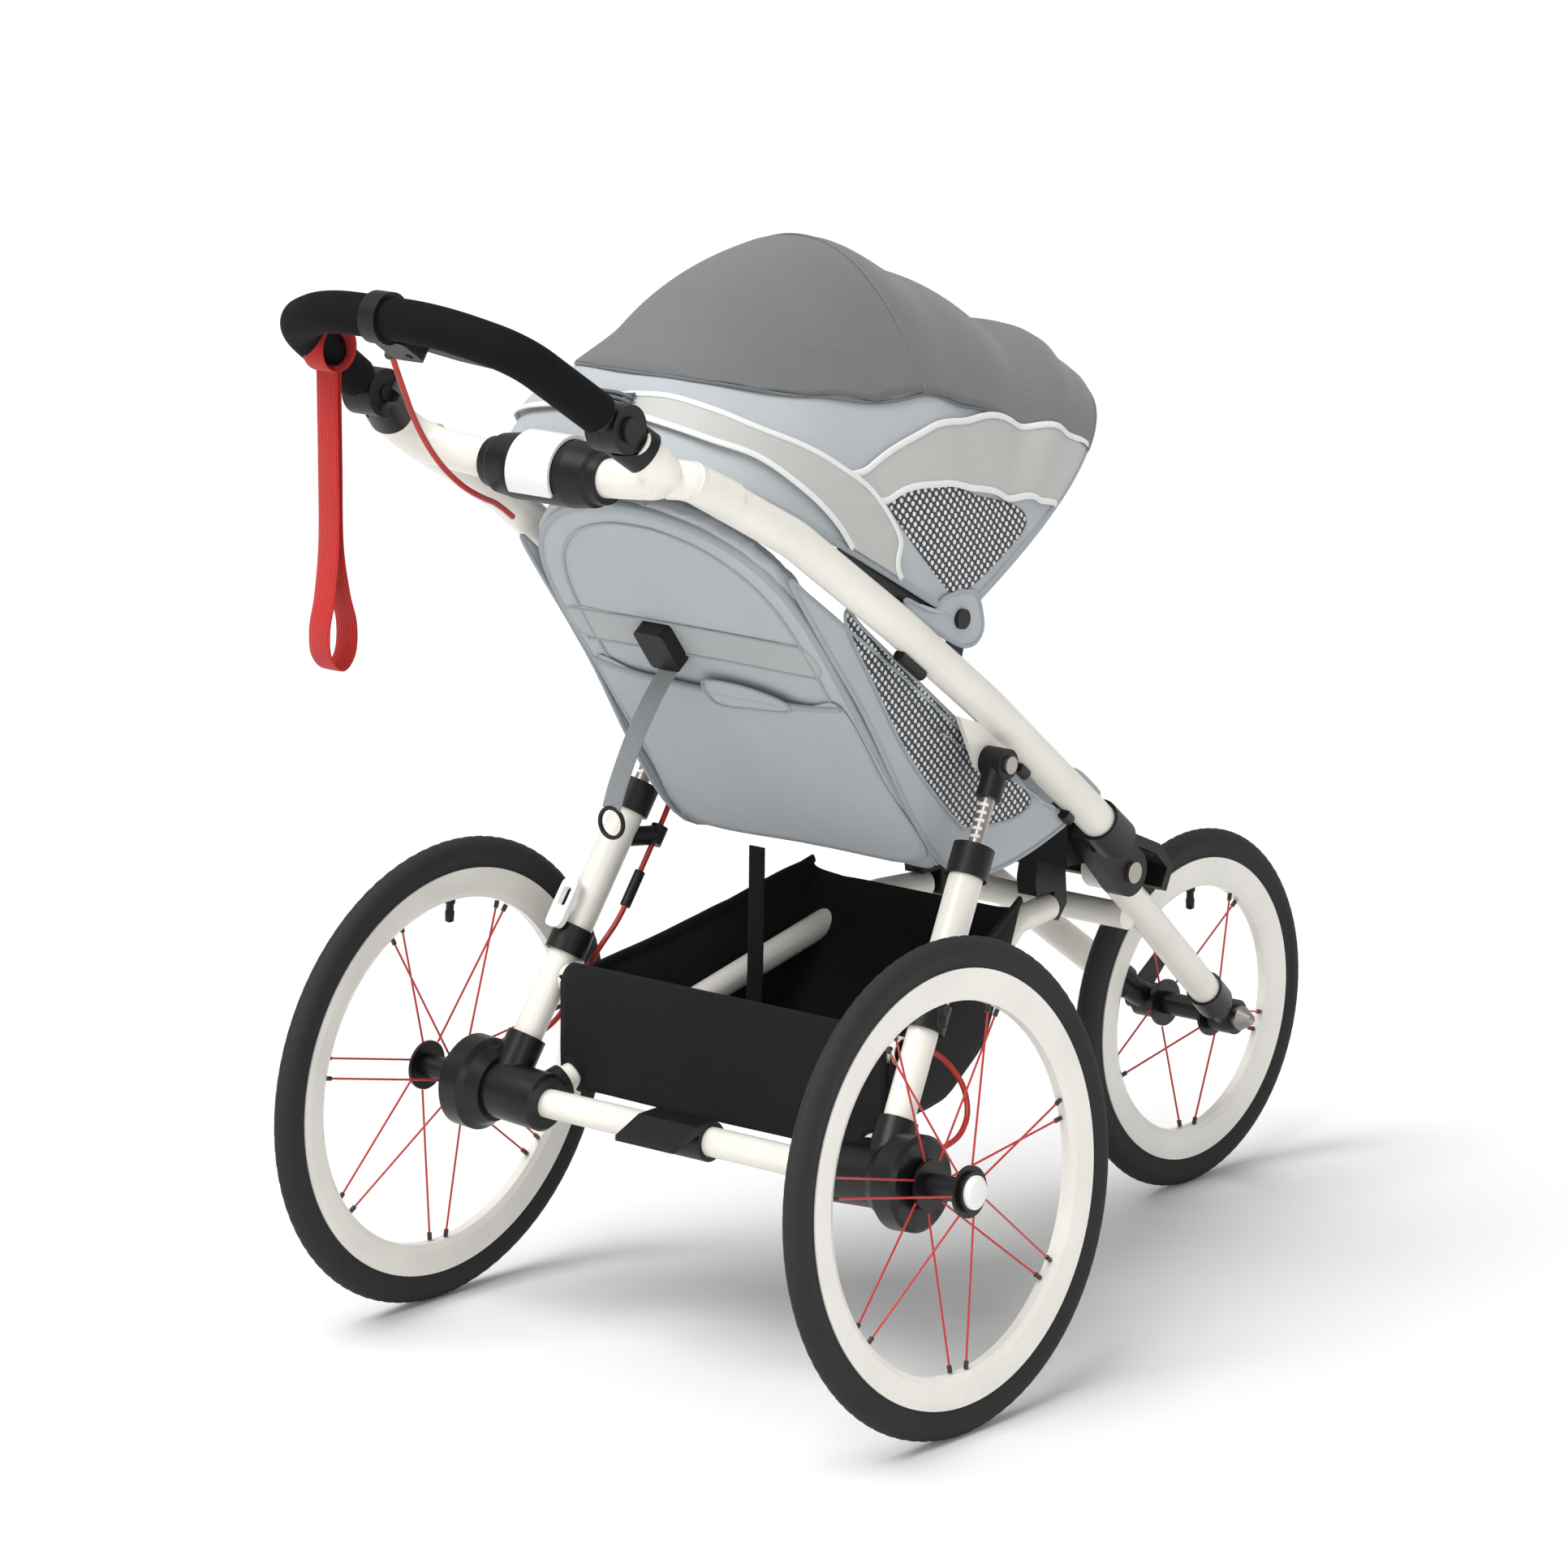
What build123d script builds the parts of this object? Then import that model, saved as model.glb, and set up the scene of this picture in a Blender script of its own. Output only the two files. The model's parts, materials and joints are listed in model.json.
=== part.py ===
"""Three-wheeled jogging stroller with a folding frame, a reclining seat and a canopy.

Millimetres. +X is the rider's right, +Y is forward, +Z is up, and the origin is on the ground under the
middle of the whole stroller.
"""

import os
from math import asin, atan2, cos, pi, radians, sin, tan

from build123d import *

os.makedirs("parts", exist_ok=True)

# ---- driving dimensions -------------------------------------------------------------------------------
REAR_RADIUS = 220.0  # outside of a rear tyre
FRONT_RADIUS = 176.3  # outside of the front tyre
TRACK = 593.0  # between the middles of the rear wheels
WHEELBASE = 746.0
REAR_AXLE_Y = -244.0
CAMBER = radians(3.64)  # the rear wheels lean in at the top

GAP = 0.3  # between pieces that touch but don't run on each other
RUNNING = 0.05  # radial clearance of a shaft that turns in a bore

TYRE_HALF = 10.4
TYRE_HEIGHT = 27.3  # from the rim's lip to the tread
RIM_HALF = 9.0
RIM_DEPTH = 28.5
RIM_WALL = 2.0
RIM_WELL = 5.4  # depth of the tyre's seat below the lip
SPOKE_RADIUS = 1.0
NIPPLE_RADIUS = 2.2
NIPPLE_LENGTH = 9.0
FLANGE_RADIUS = 23.0
FLANGE_THICK = 3.0
REAR_FLANGES = 23.0  # a flange's outer face, from the wheel's middle
FRONT_FLANGES = 30.0
HUB_RADIUS = 11.0
REAR_PAIRS = 7
FRONT_PAIRS = 5
RIM_SPREAD = 9.0  # a spoke's end, from the middle of its pair, at the rim
HUB_SPREAD = 4.5
AXLE_RADIUS = 6.0
BUTTON_RADIUS = 15.0
BUTTON_TRAVEL = 3.0

HOUSING_INNER_X = 168.0  # inner end of an axle housing
HOUSING_RADIUS = 27.0
DRUM_RADIUS = 43.0
DRUM_OUTER = 29.0  # the drum's outer face, from the wheel's middle
DRUM_WIDTH = 29.0
BEAM_RADIUS = 13.5
TUBE_WALL = 1.8

SIDE_TUBE_RADIUS = 17.0
BOW_RADIUS = 17.0
LEG_RADIUS = 15.5
LOWER_LEG_RADIUS = 14.0
ROD_RADIUS = 7.0
CROSSBAR_RADIUS = 13.0
RAIL_RADIUS = 12.5
FORK_RADIUS = 15.0
FORK_CROSS_RADIUS = 12.5
GRIP_RADIUS = 18.0
CABLE_RADIUS = 2.6

KNUCKLE = Vector(188, -42, 545)  # right pivot of the rear frame
LEG_FOOT = Vector(219, -226, 246)  # where the right leg meets its housing
HINGE_Y = 229.0  # fold pivot of the fork
HINGE_Z = 385.0
HANDLE_X = 139.0
HANDLE_Y = -495.0
HANDLE_Z = 903.0
HANDLE_RISE = radians(35)  # the bar's plane above the horizontal
HANDLE_REACH = 166.0  # from the pivots to the middle of the bar
CLAMP_WALL = 4.0
CANOPY_Y = -74.0  # canopy pivot
CANOPY_Z = 678.0
RECLINE_Y = -64.0  # backrest hinge
RECLINE_Z = 449.0
SEAT_HALF = 150.0
SIDES = (1, -1)  # right, left

FRONT_Y = REAR_AXLE_Y + WHEELBASE + FRONT_RADIUS
BACK_Y = HANDLE_Y - HANDLE_REACH * cos(HANDLE_RISE) - GRIP_RADIUS - CLAMP_WALL
MIDDLE_Y = (FRONT_Y + BACK_Y) / 2  # the origin goes here, under the middle of the whole length


def keep(made, name):
    """Labels a finished piece, puts the origin under the stroller's middle and writes its STEP file."""
    placed = made.part.moved(Location((0, -MIDDLE_Y, 0)))
    placed.label = name
    export_step(placed, f"parts/{name}.step")


def add_tube(points, radii, radius, wall=0.0, mode=Mode.ADD):
    """Adds or cuts a round tube along straight runs joined by tangent arcs."""
    with BuildLine(mode=Mode.PRIVATE) as route:
        if len(points) == 2:
            Line(*points)
        else:
            FilletPolyline(*points, radius=radii)
    start = Plane(origin=route.wire() @ 0, z_dir=route.wire() % 0)
    with BuildSketch(start) as section:
        Circle(radius)
        if wall:
            Circle(radius - wall, mode=Mode.SUBTRACT)
    sweep(sections=section.sketch, path=route.wire(), mode=mode)


def add_rod(start, end, radius, mode=Mode.ADD):
    """Adds or cuts a straight round rod between two points."""
    along = Vector(*end) - Vector(*start)
    with BuildSketch(Plane(origin=start, z_dir=along)) as section:
        Circle(radius)
    extrude(section.sketch, amount=along.length, mode=mode)


def turn(axle, outline):
    """Adds a body turned about the plane's x axis, from (along the axle, radius) points."""
    with BuildSketch(axle) as profile:
        with BuildLine():
            Polyline(*outline, close=True)
        make_face()
    revolve(profile.sketch, axis=Axis(axle.origin, axle.x_dir))


def slab(outline, x_low, x_high, mode=Mode.ADD):
    """Adds or cuts a plate whose outline is given as (y, z) points."""
    with BuildSketch(Plane.YZ.offset(x_low)) as profile:
        with BuildLine():
            Polyline(*outline, close=True)
        make_face()
    extrude(profile.sketch, amount=x_high - x_low, mode=mode)


def disc(centre_y, centre_z, radius, x_low, x_high, mode=Mode.ADD):
    """Adds or cuts a disc that lies across the stroller."""
    with BuildSketch(Plane.YZ.offset(x_low)) as profile:
        with Locations((centre_y, centre_z)):
            Circle(radius)
    extrude(profile.sketch, amount=x_high - x_low, mode=mode)


def mirror_point(point, side):
    """A point of the right side, or its mirror image on the left."""
    x, y, z = point
    return (side * x, y, z)


def between(start, end, share):
    """The point a share of the way from one point to another."""
    return Vector(*start) + (Vector(*end) - Vector(*start)) * share


# ---- wheels -------------------------------------------------------------------------------------------
def rear_axle_plane(side):
    """The frame of a rear wheel: x outward along its axle, y up its leaning face."""
    lift = REAR_RADIUS - TYRE_HALF * (1 - cos(CAMBER))
    centre = (side * TRACK / 2, REAR_AXLE_Y, lift * cos(CAMBER))
    return Plane(origin=centre, x_dir=(side * cos(CAMBER), 0, sin(CAMBER)), z_dir=(0, -side, 0))


def make_tyre(name, axle, radius):
    """A tyre whose bead sits in the rim's well."""
    lip = radius - TYRE_HEIGHT
    bead = RIM_HALF - RIM_WALL - GAP
    shoulder = radius - TYRE_HALF - 5
    with BuildPart() as tyre:
        with BuildSketch(axle):
            with BuildLine():
                ThreePointArc((-TYRE_HALF, shoulder), (0, radius), (TYRE_HALF, shoulder))
                Polyline(
                    (TYRE_HALF, shoulder),
                    (TYRE_HALF, lip + 6),
                    (bead, lip + 2),
                    (bead, lip - RIM_WELL + GAP),
                    (-bead, lip - RIM_WELL + GAP),
                    (-bead, lip + 2),
                    (-TYRE_HALF, lip + 6),
                    (-TYRE_HALF, shoulder),
                )
            make_face()
        revolve(axis=Axis(axle.origin, axle.x_dir))
    keep(tyre, name)


def make_rim(name, axle, radius):
    """A deep rim with a well for the tyre and a valve on its inner edge."""
    lip = radius - TYRE_HEIGHT
    inner = lip - RIM_DEPTH
    well = RIM_HALF - RIM_WALL
    with BuildPart() as rim:
        turn(
            axle,
            [
                (-RIM_HALF / 2, inner),
                (-RIM_HALF + 1.5, inner + 6),
                (-RIM_HALF, lip - RIM_WELL - 2),
                (-RIM_HALF, lip),
                (-well, lip),
                (-well, lip - RIM_WELL),
                (well, lip - RIM_WELL),
                (well, lip),
                (RIM_HALF, lip),
                (RIM_HALF, lip - RIM_WELL - 2),
                (RIM_HALF - 1.5, inner + 6),
                (RIM_HALF / 2, inner),
            ],
        )
        valve = Plane(
            origin=axle.from_local_coords((0, inner + 2, 0)),
            z_dir=axle.from_local_coords((0, -1, 0)) - axle.origin,
        )
        with BuildSketch(valve):
            Circle(3.2)
        extrude(amount=16)
    keep(rim, name)


def make_spokes(name, axle, radius, pairs, flanges):
    """Straight spokes in pairs. The two of a pair go to opposite hub flanges."""
    inner = radius - TYRE_HEIGHT - RIM_DEPTH - GAP
    with BuildPart() as spokes:
        for pair in range(pairs):
            angle = 2 * pi * (pair + 0.5) / pairs
            for hand in SIDES:
                hub_end = (
                    hand * (flanges - FLANGE_THICK / 2),
                    (FLANGE_RADIUS + GAP) * cos(angle) - hand * HUB_SPREAD * sin(angle),
                    (FLANGE_RADIUS + GAP) * sin(angle) + hand * HUB_SPREAD * cos(angle),
                )
                rim_end = (
                    hand * 1.5,
                    inner * cos(angle) - hand * RIM_SPREAD * sin(angle),
                    inner * sin(angle) + hand * RIM_SPREAD * cos(angle),
                )
                nipple = between(rim_end, hub_end, NIPPLE_LENGTH / inner)
                place = axle.from_local_coords
                rim_point = between(rim_end, hub_end, 1.2 / inner)
                add_rod(place(hub_end), place(rim_point), SPOKE_RADIUS)
                add_rod(place(tuple(nipple)), place(rim_point), NIPPLE_RADIUS)
    keep(spokes, name)


def make_hub(name, axle, flanges, recess):
    """A flanged hub with a running bore, and a recess for a push button on its outer end."""
    bore = AXLE_RADIUS + RUNNING
    groove = FLANGE_THICK
    end = flanges + 4
    with BuildPart() as hub:
        turn(
            axle,
            [
                (-end, bore),
                (-end, HUB_RADIUS),
                (-flanges, HUB_RADIUS),
                (-flanges, FLANGE_RADIUS),
                (-flanges + groove, FLANGE_RADIUS),
                (-flanges + groove, HUB_RADIUS),
                (flanges - groove, HUB_RADIUS),
                (flanges - groove, FLANGE_RADIUS),
                (flanges, FLANGE_RADIUS),
                (flanges, HUB_RADIUS if not recess else BUTTON_RADIUS + 3),
                (end, HUB_RADIUS if not recess else BUTTON_RADIUS + 3),
                (end, bore if not recess else BUTTON_RADIUS + 0.2),
            ]
            + ([(flanges - 2, BUTTON_RADIUS + 0.2), (flanges - 2, bore)] if recess else []),
        )
    keep(hub, name)


for side, word in zip(SIDES, ("right", "left")):
    rear_axle = rear_axle_plane(side)
    make_tyre(f"rear_tyre_{word}", rear_axle, REAR_RADIUS)
    make_rim(f"rear_rim_{word}", rear_axle, REAR_RADIUS)
    make_spokes(f"rear_spokes_{word}", rear_axle, REAR_RADIUS, REAR_PAIRS, REAR_FLANGES)
    make_hub(f"rear_hub_{word}", rear_axle, REAR_FLANGES, True)
    with BuildPart() as hub_button:
        seat = REAR_FLANGES - 2 + BUTTON_TRAVEL + GAP
        turn(
            rear_axle,
            [
                (seat, 0),
                (seat, BUTTON_RADIUS),
                (seat + 5, BUTTON_RADIUS),
                (seat + 8, BUTTON_RADIUS * 0.75),
                (seat + 9.5, 0),
            ],
        )
    keep(hub_button, f"hub_button_{word}")

FRONT_AXLE_Y = REAR_AXLE_Y + WHEELBASE
front_axle = Plane(origin=(0, FRONT_AXLE_Y, FRONT_RADIUS), x_dir=(1, 0, 0), z_dir=(0, -1, 0))
make_tyre("front_tyre", front_axle, FRONT_RADIUS)
make_rim("front_rim", front_axle, FRONT_RADIUS)
make_spokes("front_spokes", front_axle, FRONT_RADIUS, FRONT_PAIRS, FRONT_FLANGES)
make_hub("front_hub", front_axle, FRONT_FLANGES, False)

# ---- rear axle ----------------------------------------------------------------------------------------
right_axle = rear_axle_plane(1)
HOUSING_END = (right_axle.origin.X - HOUSING_INNER_X) / cos(CAMBER)
BEAM_Z = right_axle.origin.Z - HOUSING_END * sin(CAMBER)
LEG_DIRECTION = (KNUCKLE - LEG_FOOT).normalized()
FOOT_DEPTH = 22.0  # how far a leg goes into its socket
SOCKET_RISE = 17.0
SOCKET_WALL = 4.5
RAIL_START = Vector(181, -208, 223)
RAIL_BEND = Vector(84, 117, 352)
RAIL_END = Vector(72, 182, 351)
RAIL_DIRECTION = (RAIL_BEND - RAIL_START).normalized()
BEAM_SEAT = 18.0  # how far the beam goes into a housing
BEAM_PLAY = 1.2  # room for the level beam in a housing that leans

with BuildPart() as housings:
    drum_inner = DRUM_OUTER + DRUM_WIDTH
    turn(
        right_axle,
        [
            (-DRUM_OUTER, AXLE_RADIUS + GAP),
            (-DRUM_OUTER, DRUM_RADIUS - 4),
            (-DRUM_OUTER - 4, DRUM_RADIUS),
            (-drum_inner + 5, DRUM_RADIUS),
            (-drum_inner, DRUM_RADIUS - 5),
            (-drum_inner - 12, HOUSING_RADIUS + 4),
            (-drum_inner - 12, HOUSING_RADIUS),
            (-HOUSING_END + 3, HOUSING_RADIUS),
            (-HOUSING_END, HOUSING_RADIUS - 3),
            (-HOUSING_END, BEAM_RADIUS + BEAM_PLAY),
            (-HOUSING_END + BEAM_SEAT + 4, BEAM_RADIUS + BEAM_PLAY),
            (-HOUSING_END + BEAM_SEAT + 4, AXLE_RADIUS + GAP),
        ],
    )
    foot = LEG_FOOT - LEG_DIRECTION * FOOT_DEPTH
    add_rod(foot, LEG_FOOT + LEG_DIRECTION * SOCKET_RISE, LOWER_LEG_RADIUS + SOCKET_WALL)
    add_rod(RAIL_START - RAIL_DIRECTION * 24, RAIL_START - RAIL_DIRECTION, RAIL_RADIUS + 4)
    add_rod(foot, LEG_FOOT + LEG_DIRECTION * 60, LOWER_LEG_RADIUS + GAP, mode=Mode.SUBTRACT)
    add_rod(RAIL_START - RAIL_DIRECTION * 6, RAIL_BEND, RAIL_RADIUS + GAP, mode=Mode.SUBTRACT)
    add_rod(
        (HOUSING_INNER_X - BEAM_SEAT, REAR_AXLE_Y, BEAM_Z),
        (HOUSING_INNER_X + BEAM_SEAT + GAP, REAR_AXLE_Y, BEAM_Z),
        BEAM_RADIUS + GAP,
        mode=Mode.SUBTRACT,
    )
    mirror(about=Plane.YZ)
keep(housings, "axle_housings")

with BuildPart() as stub_axles:
    inner_end = -HOUSING_END + BEAM_SEAT + 30
    turn(
        right_axle,
        [
            (inner_end, 0),
            (inner_end, AXLE_RADIUS),
            (REAR_FLANGES - 3, AXLE_RADIUS),
            (REAR_FLANGES - 3, 0),
        ],
    )
    mirror(about=Plane.YZ)
keep(stub_axles, "stub_axles")

CROSSBAR_SHARE = 0.779  # where the crossbar meets the legs, from knuckle to foot
crossbar_end = between(KNUCKLE, LEG_FOOT, CROSSBAR_SHARE)
CROSSBAR_Y = crossbar_end.Y
CROSSBAR_Z = crossbar_end.Z
CROSSBAR_HALF = crossbar_end.X - LOWER_LEG_RADIUS - 1.6

with BuildPart() as cross_tubes:
    beam_half = HOUSING_INNER_X + BEAM_SEAT
    add_tube(
        [(-beam_half, REAR_AXLE_Y, BEAM_Z), (beam_half, REAR_AXLE_Y, BEAM_Z)],
        None,
        BEAM_RADIUS,
        TUBE_WALL,
    )
    add_tube(
        [(-CROSSBAR_HALF, CROSSBAR_Y, CROSSBAR_Z), (CROSSBAR_HALF, CROSSBAR_Y, CROSSBAR_Z)],
        None,
        CROSSBAR_RADIUS,
        TUBE_WALL,
    )
keep(cross_tubes, "cross_tubes")

# ---- rear legs ----------------------------------------------------------------------------------------
COLLAR_SHARE = 0.244  # top of the upper leg tube, from knuckle to foot
MID_SHARE = 0.68
COLLAR_LENGTH = 26.0
COLLAR_WALL = 3.5

upper_top = between(KNUCKLE, LEG_FOOT, COLLAR_SHARE)
upper_end = between(KNUCKLE, LEG_FOOT, MID_SHARE)
with BuildPart() as leg_tubes:
    add_tube([upper_top, upper_end], None, LEG_RADIUS, TUBE_WALL)
    add_tube(
        [upper_end - LEG_DIRECTION * GAP, LEG_FOOT - LEG_DIRECTION * (FOOT_DEPTH - GAP)],
        None,
        LOWER_LEG_RADIUS,
        TUBE_WALL,
    )
    mirror(about=Plane.YZ)
keep(leg_tubes, "leg_tubes")

with BuildPart() as leg_collars:
    for spot in (upper_top - LEG_DIRECTION * 10, upper_end):
        low = spot - LEG_DIRECTION * COLLAR_LENGTH / 2
        high = spot + LEG_DIRECTION * COLLAR_LENGTH / 2
        add_rod(low, high, LEG_RADIUS + COLLAR_WALL)
        add_rod(low - LEG_DIRECTION, high + LEG_DIRECTION, LEG_RADIUS + GAP, mode=Mode.SUBTRACT)
    cap = upper_top + LEG_DIRECTION * 1
    add_rod(cap, cap + LEG_DIRECTION * 5, LEG_RADIUS + COLLAR_WALL)
    add_rod(cap - LEG_DIRECTION, cap + LEG_DIRECTION * 8, ROD_RADIUS + GAP, mode=Mode.SUBTRACT)
    mirror(about=Plane.YZ)
keep(leg_collars, "leg_collars")

CAP_RADIUS = 14.0
CAP_HALF = 11.7
CAP_LENGTH = 34.0
KNUCKLE_BOLT = 5.0
with BuildPart() as strut_rods:
    add_tube(
        [KNUCKLE - LEG_DIRECTION * (CAP_LENGTH - 12), upper_top - LEG_DIRECTION * 20],
        None,
        ROD_RADIUS,
    )
    mirror(about=Plane.YZ)
keep(strut_rods, "strut_rods")

with BuildPart() as strut_caps:
    x_low = KNUCKLE.X - CAP_HALF
    x_high = KNUCKLE.X + CAP_HALF
    disc(KNUCKLE.Y, KNUCKLE.Z, CAP_RADIUS, x_low, x_high)
    add_rod(KNUCKLE, KNUCKLE - LEG_DIRECTION * CAP_LENGTH, ROD_RADIUS + 4.5)
    disc(KNUCKLE.Y, KNUCKLE.Z, KNUCKLE_BOLT + RUNNING, x_low - 9, x_high + 9, mode=Mode.SUBTRACT)
    add_rod(
        KNUCKLE - LEG_DIRECTION * (CAP_LENGTH - 12 - GAP),
        KNUCKLE - LEG_DIRECTION * (CAP_LENGTH + 9),
        ROD_RADIUS + GAP,
        mode=Mode.SUBTRACT,
    )
    disc(KNUCKLE.Y, KNUCKLE.Z, CAP_RADIUS, x_high, x_high + 9, mode=Mode.SUBTRACT)
    mirror(about=Plane.YZ)
keep(strut_caps, "strut_caps")

with BuildPart() as rear_rails:
    add_tube([RAIL_START - RAIL_DIRECTION * 5, RAIL_BEND, RAIL_END], [60], RAIL_RADIUS, TUBE_WALL)
    mirror(about=Plane.YZ)
keep(rear_rails, "rear_rails")

# ---- basket -------------------------------------------------------------------------------------------
BASKET_WALL = 3.0
BASKET_BACK_Y = CROSSBAR_Y - CROSSBAR_RADIUS - BASKET_WALL
BASKET_FRONT_Y = 80.0
BASKET_BACK_HALF = 196.5
BASKET_FRONT_HALF = 122.0
BASKET_FLOOR_Z = 210.0
BASKET_TIP_Z = 388.0
SLEEVE_HALF = 184.0


def basket_body(inset, lift, mode=Mode.ADD):
    """The basket's outer shape, or its inside: a side outline cut to a plan that narrows forward."""
    with BuildPart(mode=Mode.PRIVATE) as body:
        slab(
            [
                (BASKET_BACK_Y + inset, CROSSBAR_Z + lift),
                (BASKET_BACK_Y + 5 + inset, BASKET_FLOOR_Z + inset),
                (BASKET_FRONT_Y - 126, BASKET_FLOOR_Z + inset),
                (BASKET_FRONT_Y - 66 - inset, BASKET_FLOOR_Z + 28 + inset),
                (BASKET_FRONT_Y - 20 - inset, BASKET_FLOOR_Z + 116),
                (BASKET_FRONT_Y - inset, BASKET_TIP_Z + lift),
            ],
            -BASKET_BACK_HALF,
            BASKET_BACK_HALF,
        )
        with BuildSketch(Plane.XY.offset(BASKET_FLOOR_Z - 20)):
            with BuildLine():
                Polyline(
                    (-BASKET_BACK_HALF + inset, BASKET_BACK_Y - 20),
                    (BASKET_BACK_HALF - inset, BASKET_BACK_Y - 20),
                    (BASKET_BACK_HALF - inset, BASKET_BACK_Y),
                    (BASKET_FRONT_HALF - inset, BASKET_FRONT_Y),
                    (-BASKET_FRONT_HALF + inset, BASKET_FRONT_Y),
                    (-BASKET_BACK_HALF + inset, BASKET_BACK_Y),
                    close=True,
                )
            make_face()
        extrude(amount=BASKET_TIP_Z - BASKET_FLOOR_Z + 60, mode=Mode.INTERSECT)
    add(body.part, mode=mode)


with BuildPart() as basket:
    basket_body(0, 0)
    basket_body(BASKET_WALL, 40, mode=Mode.SUBTRACT)
    add_rod(
        (-SLEEVE_HALF, CROSSBAR_Y, CROSSBAR_Z),
        (SLEEVE_HALF, CROSSBAR_Y, CROSSBAR_Z),
        CROSSBAR_RADIUS + BASKET_WALL,
    )
    add_rod(
        (-CROSSBAR_HALF, CROSSBAR_Y, CROSSBAR_Z),
        (CROSSBAR_HALF, CROSSBAR_Y, CROSSBAR_Z),
        CROSSBAR_RADIUS + GAP,
        mode=Mode.SUBTRACT,
    )
    for side in SIDES:
        add_rod(
            mirror_point(RAIL_START, side),
            mirror_point(RAIL_BEND, side),
            RAIL_RADIUS + GAP,
            mode=Mode.SUBTRACT,
        )
keep(basket, "basket")

# ---- side tubes, bow tubes and centre housing ---------------------------------------------------------
BOW_BEND = Vector(150, -432, 850)
HOUSING_Y = -421.0
HOUSING_Z = 840.0
BARREL_HALF = 58.0
BARREL_RADIUS = 29.0
COLLAR_HALF = 66.0
BOW_START = Vector(HANDLE_X, HANDLE_Y, HANDLE_Z)
bow_direction = (BOW_BEND - BOW_START).normalized()
SOCKET_GAP = 23.0  # from the handlebar's pivot to the bow tube

with BuildPart() as bow_tubes:
    add_tube(
        [BOW_START + bow_direction * SOCKET_GAP, BOW_BEND, (COLLAR_HALF - 12, HOUSING_Y, HOUSING_Z)],
        [34],
        BOW_RADIUS,
        TUBE_WALL,
    )
    mirror(about=Plane.YZ)
keep(bow_tubes, "bow_tubes")

TUBE_TOP = Vector(155, -421, 850)
TUBE_POINTS = [
    TUBE_TOP,
    Vector(168, -300, 783),
    Vector(178, -170, 688),
    Vector(178, -48, 598),
    Vector(163, 85, 499),
    Vector(148, 178, 433),
]
TUBE_BENDS = [180, 300, 300, 300]
TUBE_FRONT = TUBE_POINTS[-1]
tube_direction = (TUBE_FRONT - TUBE_POINTS[-2]).normalized()
GUSSET_HIGH_X = KNUCKLE.X - CAP_HALF - GAP
GUSSET_LOW_X = GUSSET_HIGH_X - 5

for side, word in zip(SIDES, ("right", "left")):
    low_x, high_x = sorted((side * GUSSET_LOW_X, side * GUSSET_HIGH_X))
    with BuildPart() as side_tube:
        slab(
            [
                (KNUCKLE.Y - 40, KNUCKLE.Z + 47),
                (KNUCKLE.Y - 14, KNUCKLE.Z - 4),
                (KNUCKLE.Y, KNUCKLE.Z - 14),
                (KNUCKLE.Y + 14, KNUCKLE.Z - 4),
                (KNUCKLE.Y + 46, KNUCKLE.Z - 1),
                (KNUCKLE.Y + 40, KNUCKLE.Z + 18),
            ],
            low_x,
            high_x,
        )
        disc(KNUCKLE.Y, KNUCKLE.Z, KNUCKLE_BOLT + GAP, low_x - 9, high_x + 9, mode=Mode.SUBTRACT)
        add_tube([mirror_point(p, side) for p in TUBE_POINTS], TUBE_BENDS, SIDE_TUBE_RADIUS, TUBE_WALL)
        add_tube(
            [
                mirror_point(BOW_START, side),
                mirror_point(BOW_BEND, side),
                mirror_point((COLLAR_HALF, HOUSING_Y, HOUSING_Z), side),
            ],
            [34],
            BOW_RADIUS + GAP,
            mode=Mode.SUBTRACT,
        )
    keep(side_tube, f"side_tube_{word}")

TUBE_SLOPE = atan2(TUBE_POINTS[2].Z - TUBE_POINTS[3].Z, TUBE_POINTS[3].Y - TUBE_POINTS[2].Y)

with BuildPart() as centre_housing:
    housing_axis = Plane(origin=(0, HOUSING_Y, HOUSING_Z), x_dir=(1, 0, 0), z_dir=(0, -1, 0))
    turn(
        housing_axis,
        [
            (-COLLAR_HALF, 0),
            (-COLLAR_HALF, BOW_RADIUS + 5),
            (-BARREL_HALF, BOW_RADIUS + 6),
            (-BARREL_HALF + 4, BARREL_RADIUS - 3),
            (-BARREL_HALF + 26, BARREL_RADIUS),
            (BARREL_HALF - 26, BARREL_RADIUS),
            (BARREL_HALF - 4, BARREL_RADIUS - 3),
            (BARREL_HALF, BOW_RADIUS + 6),
            (COLLAR_HALF, BOW_RADIUS + 5),
            (COLLAR_HALF, 0),
        ],
    )
    for side in SIDES:
        add_rod(
            mirror_point(BOW_BEND, side),
            (side * (COLLAR_HALF - 12 - GAP), HOUSING_Y, HOUSING_Z),
            BOW_RADIUS + GAP,
            mode=Mode.SUBTRACT,
        )
keep(centre_housing, "centre_housing")

# ---- front hinge castings -----------------------------------------------------------------------------
HINGE_RADIUS = 23.0
CHEEK_LOW_X = 113.0
CHEEK_HIGH_X = 134.0
HINGE_BOLT = 6.0
SOCKET_LENGTH = 34.0

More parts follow.
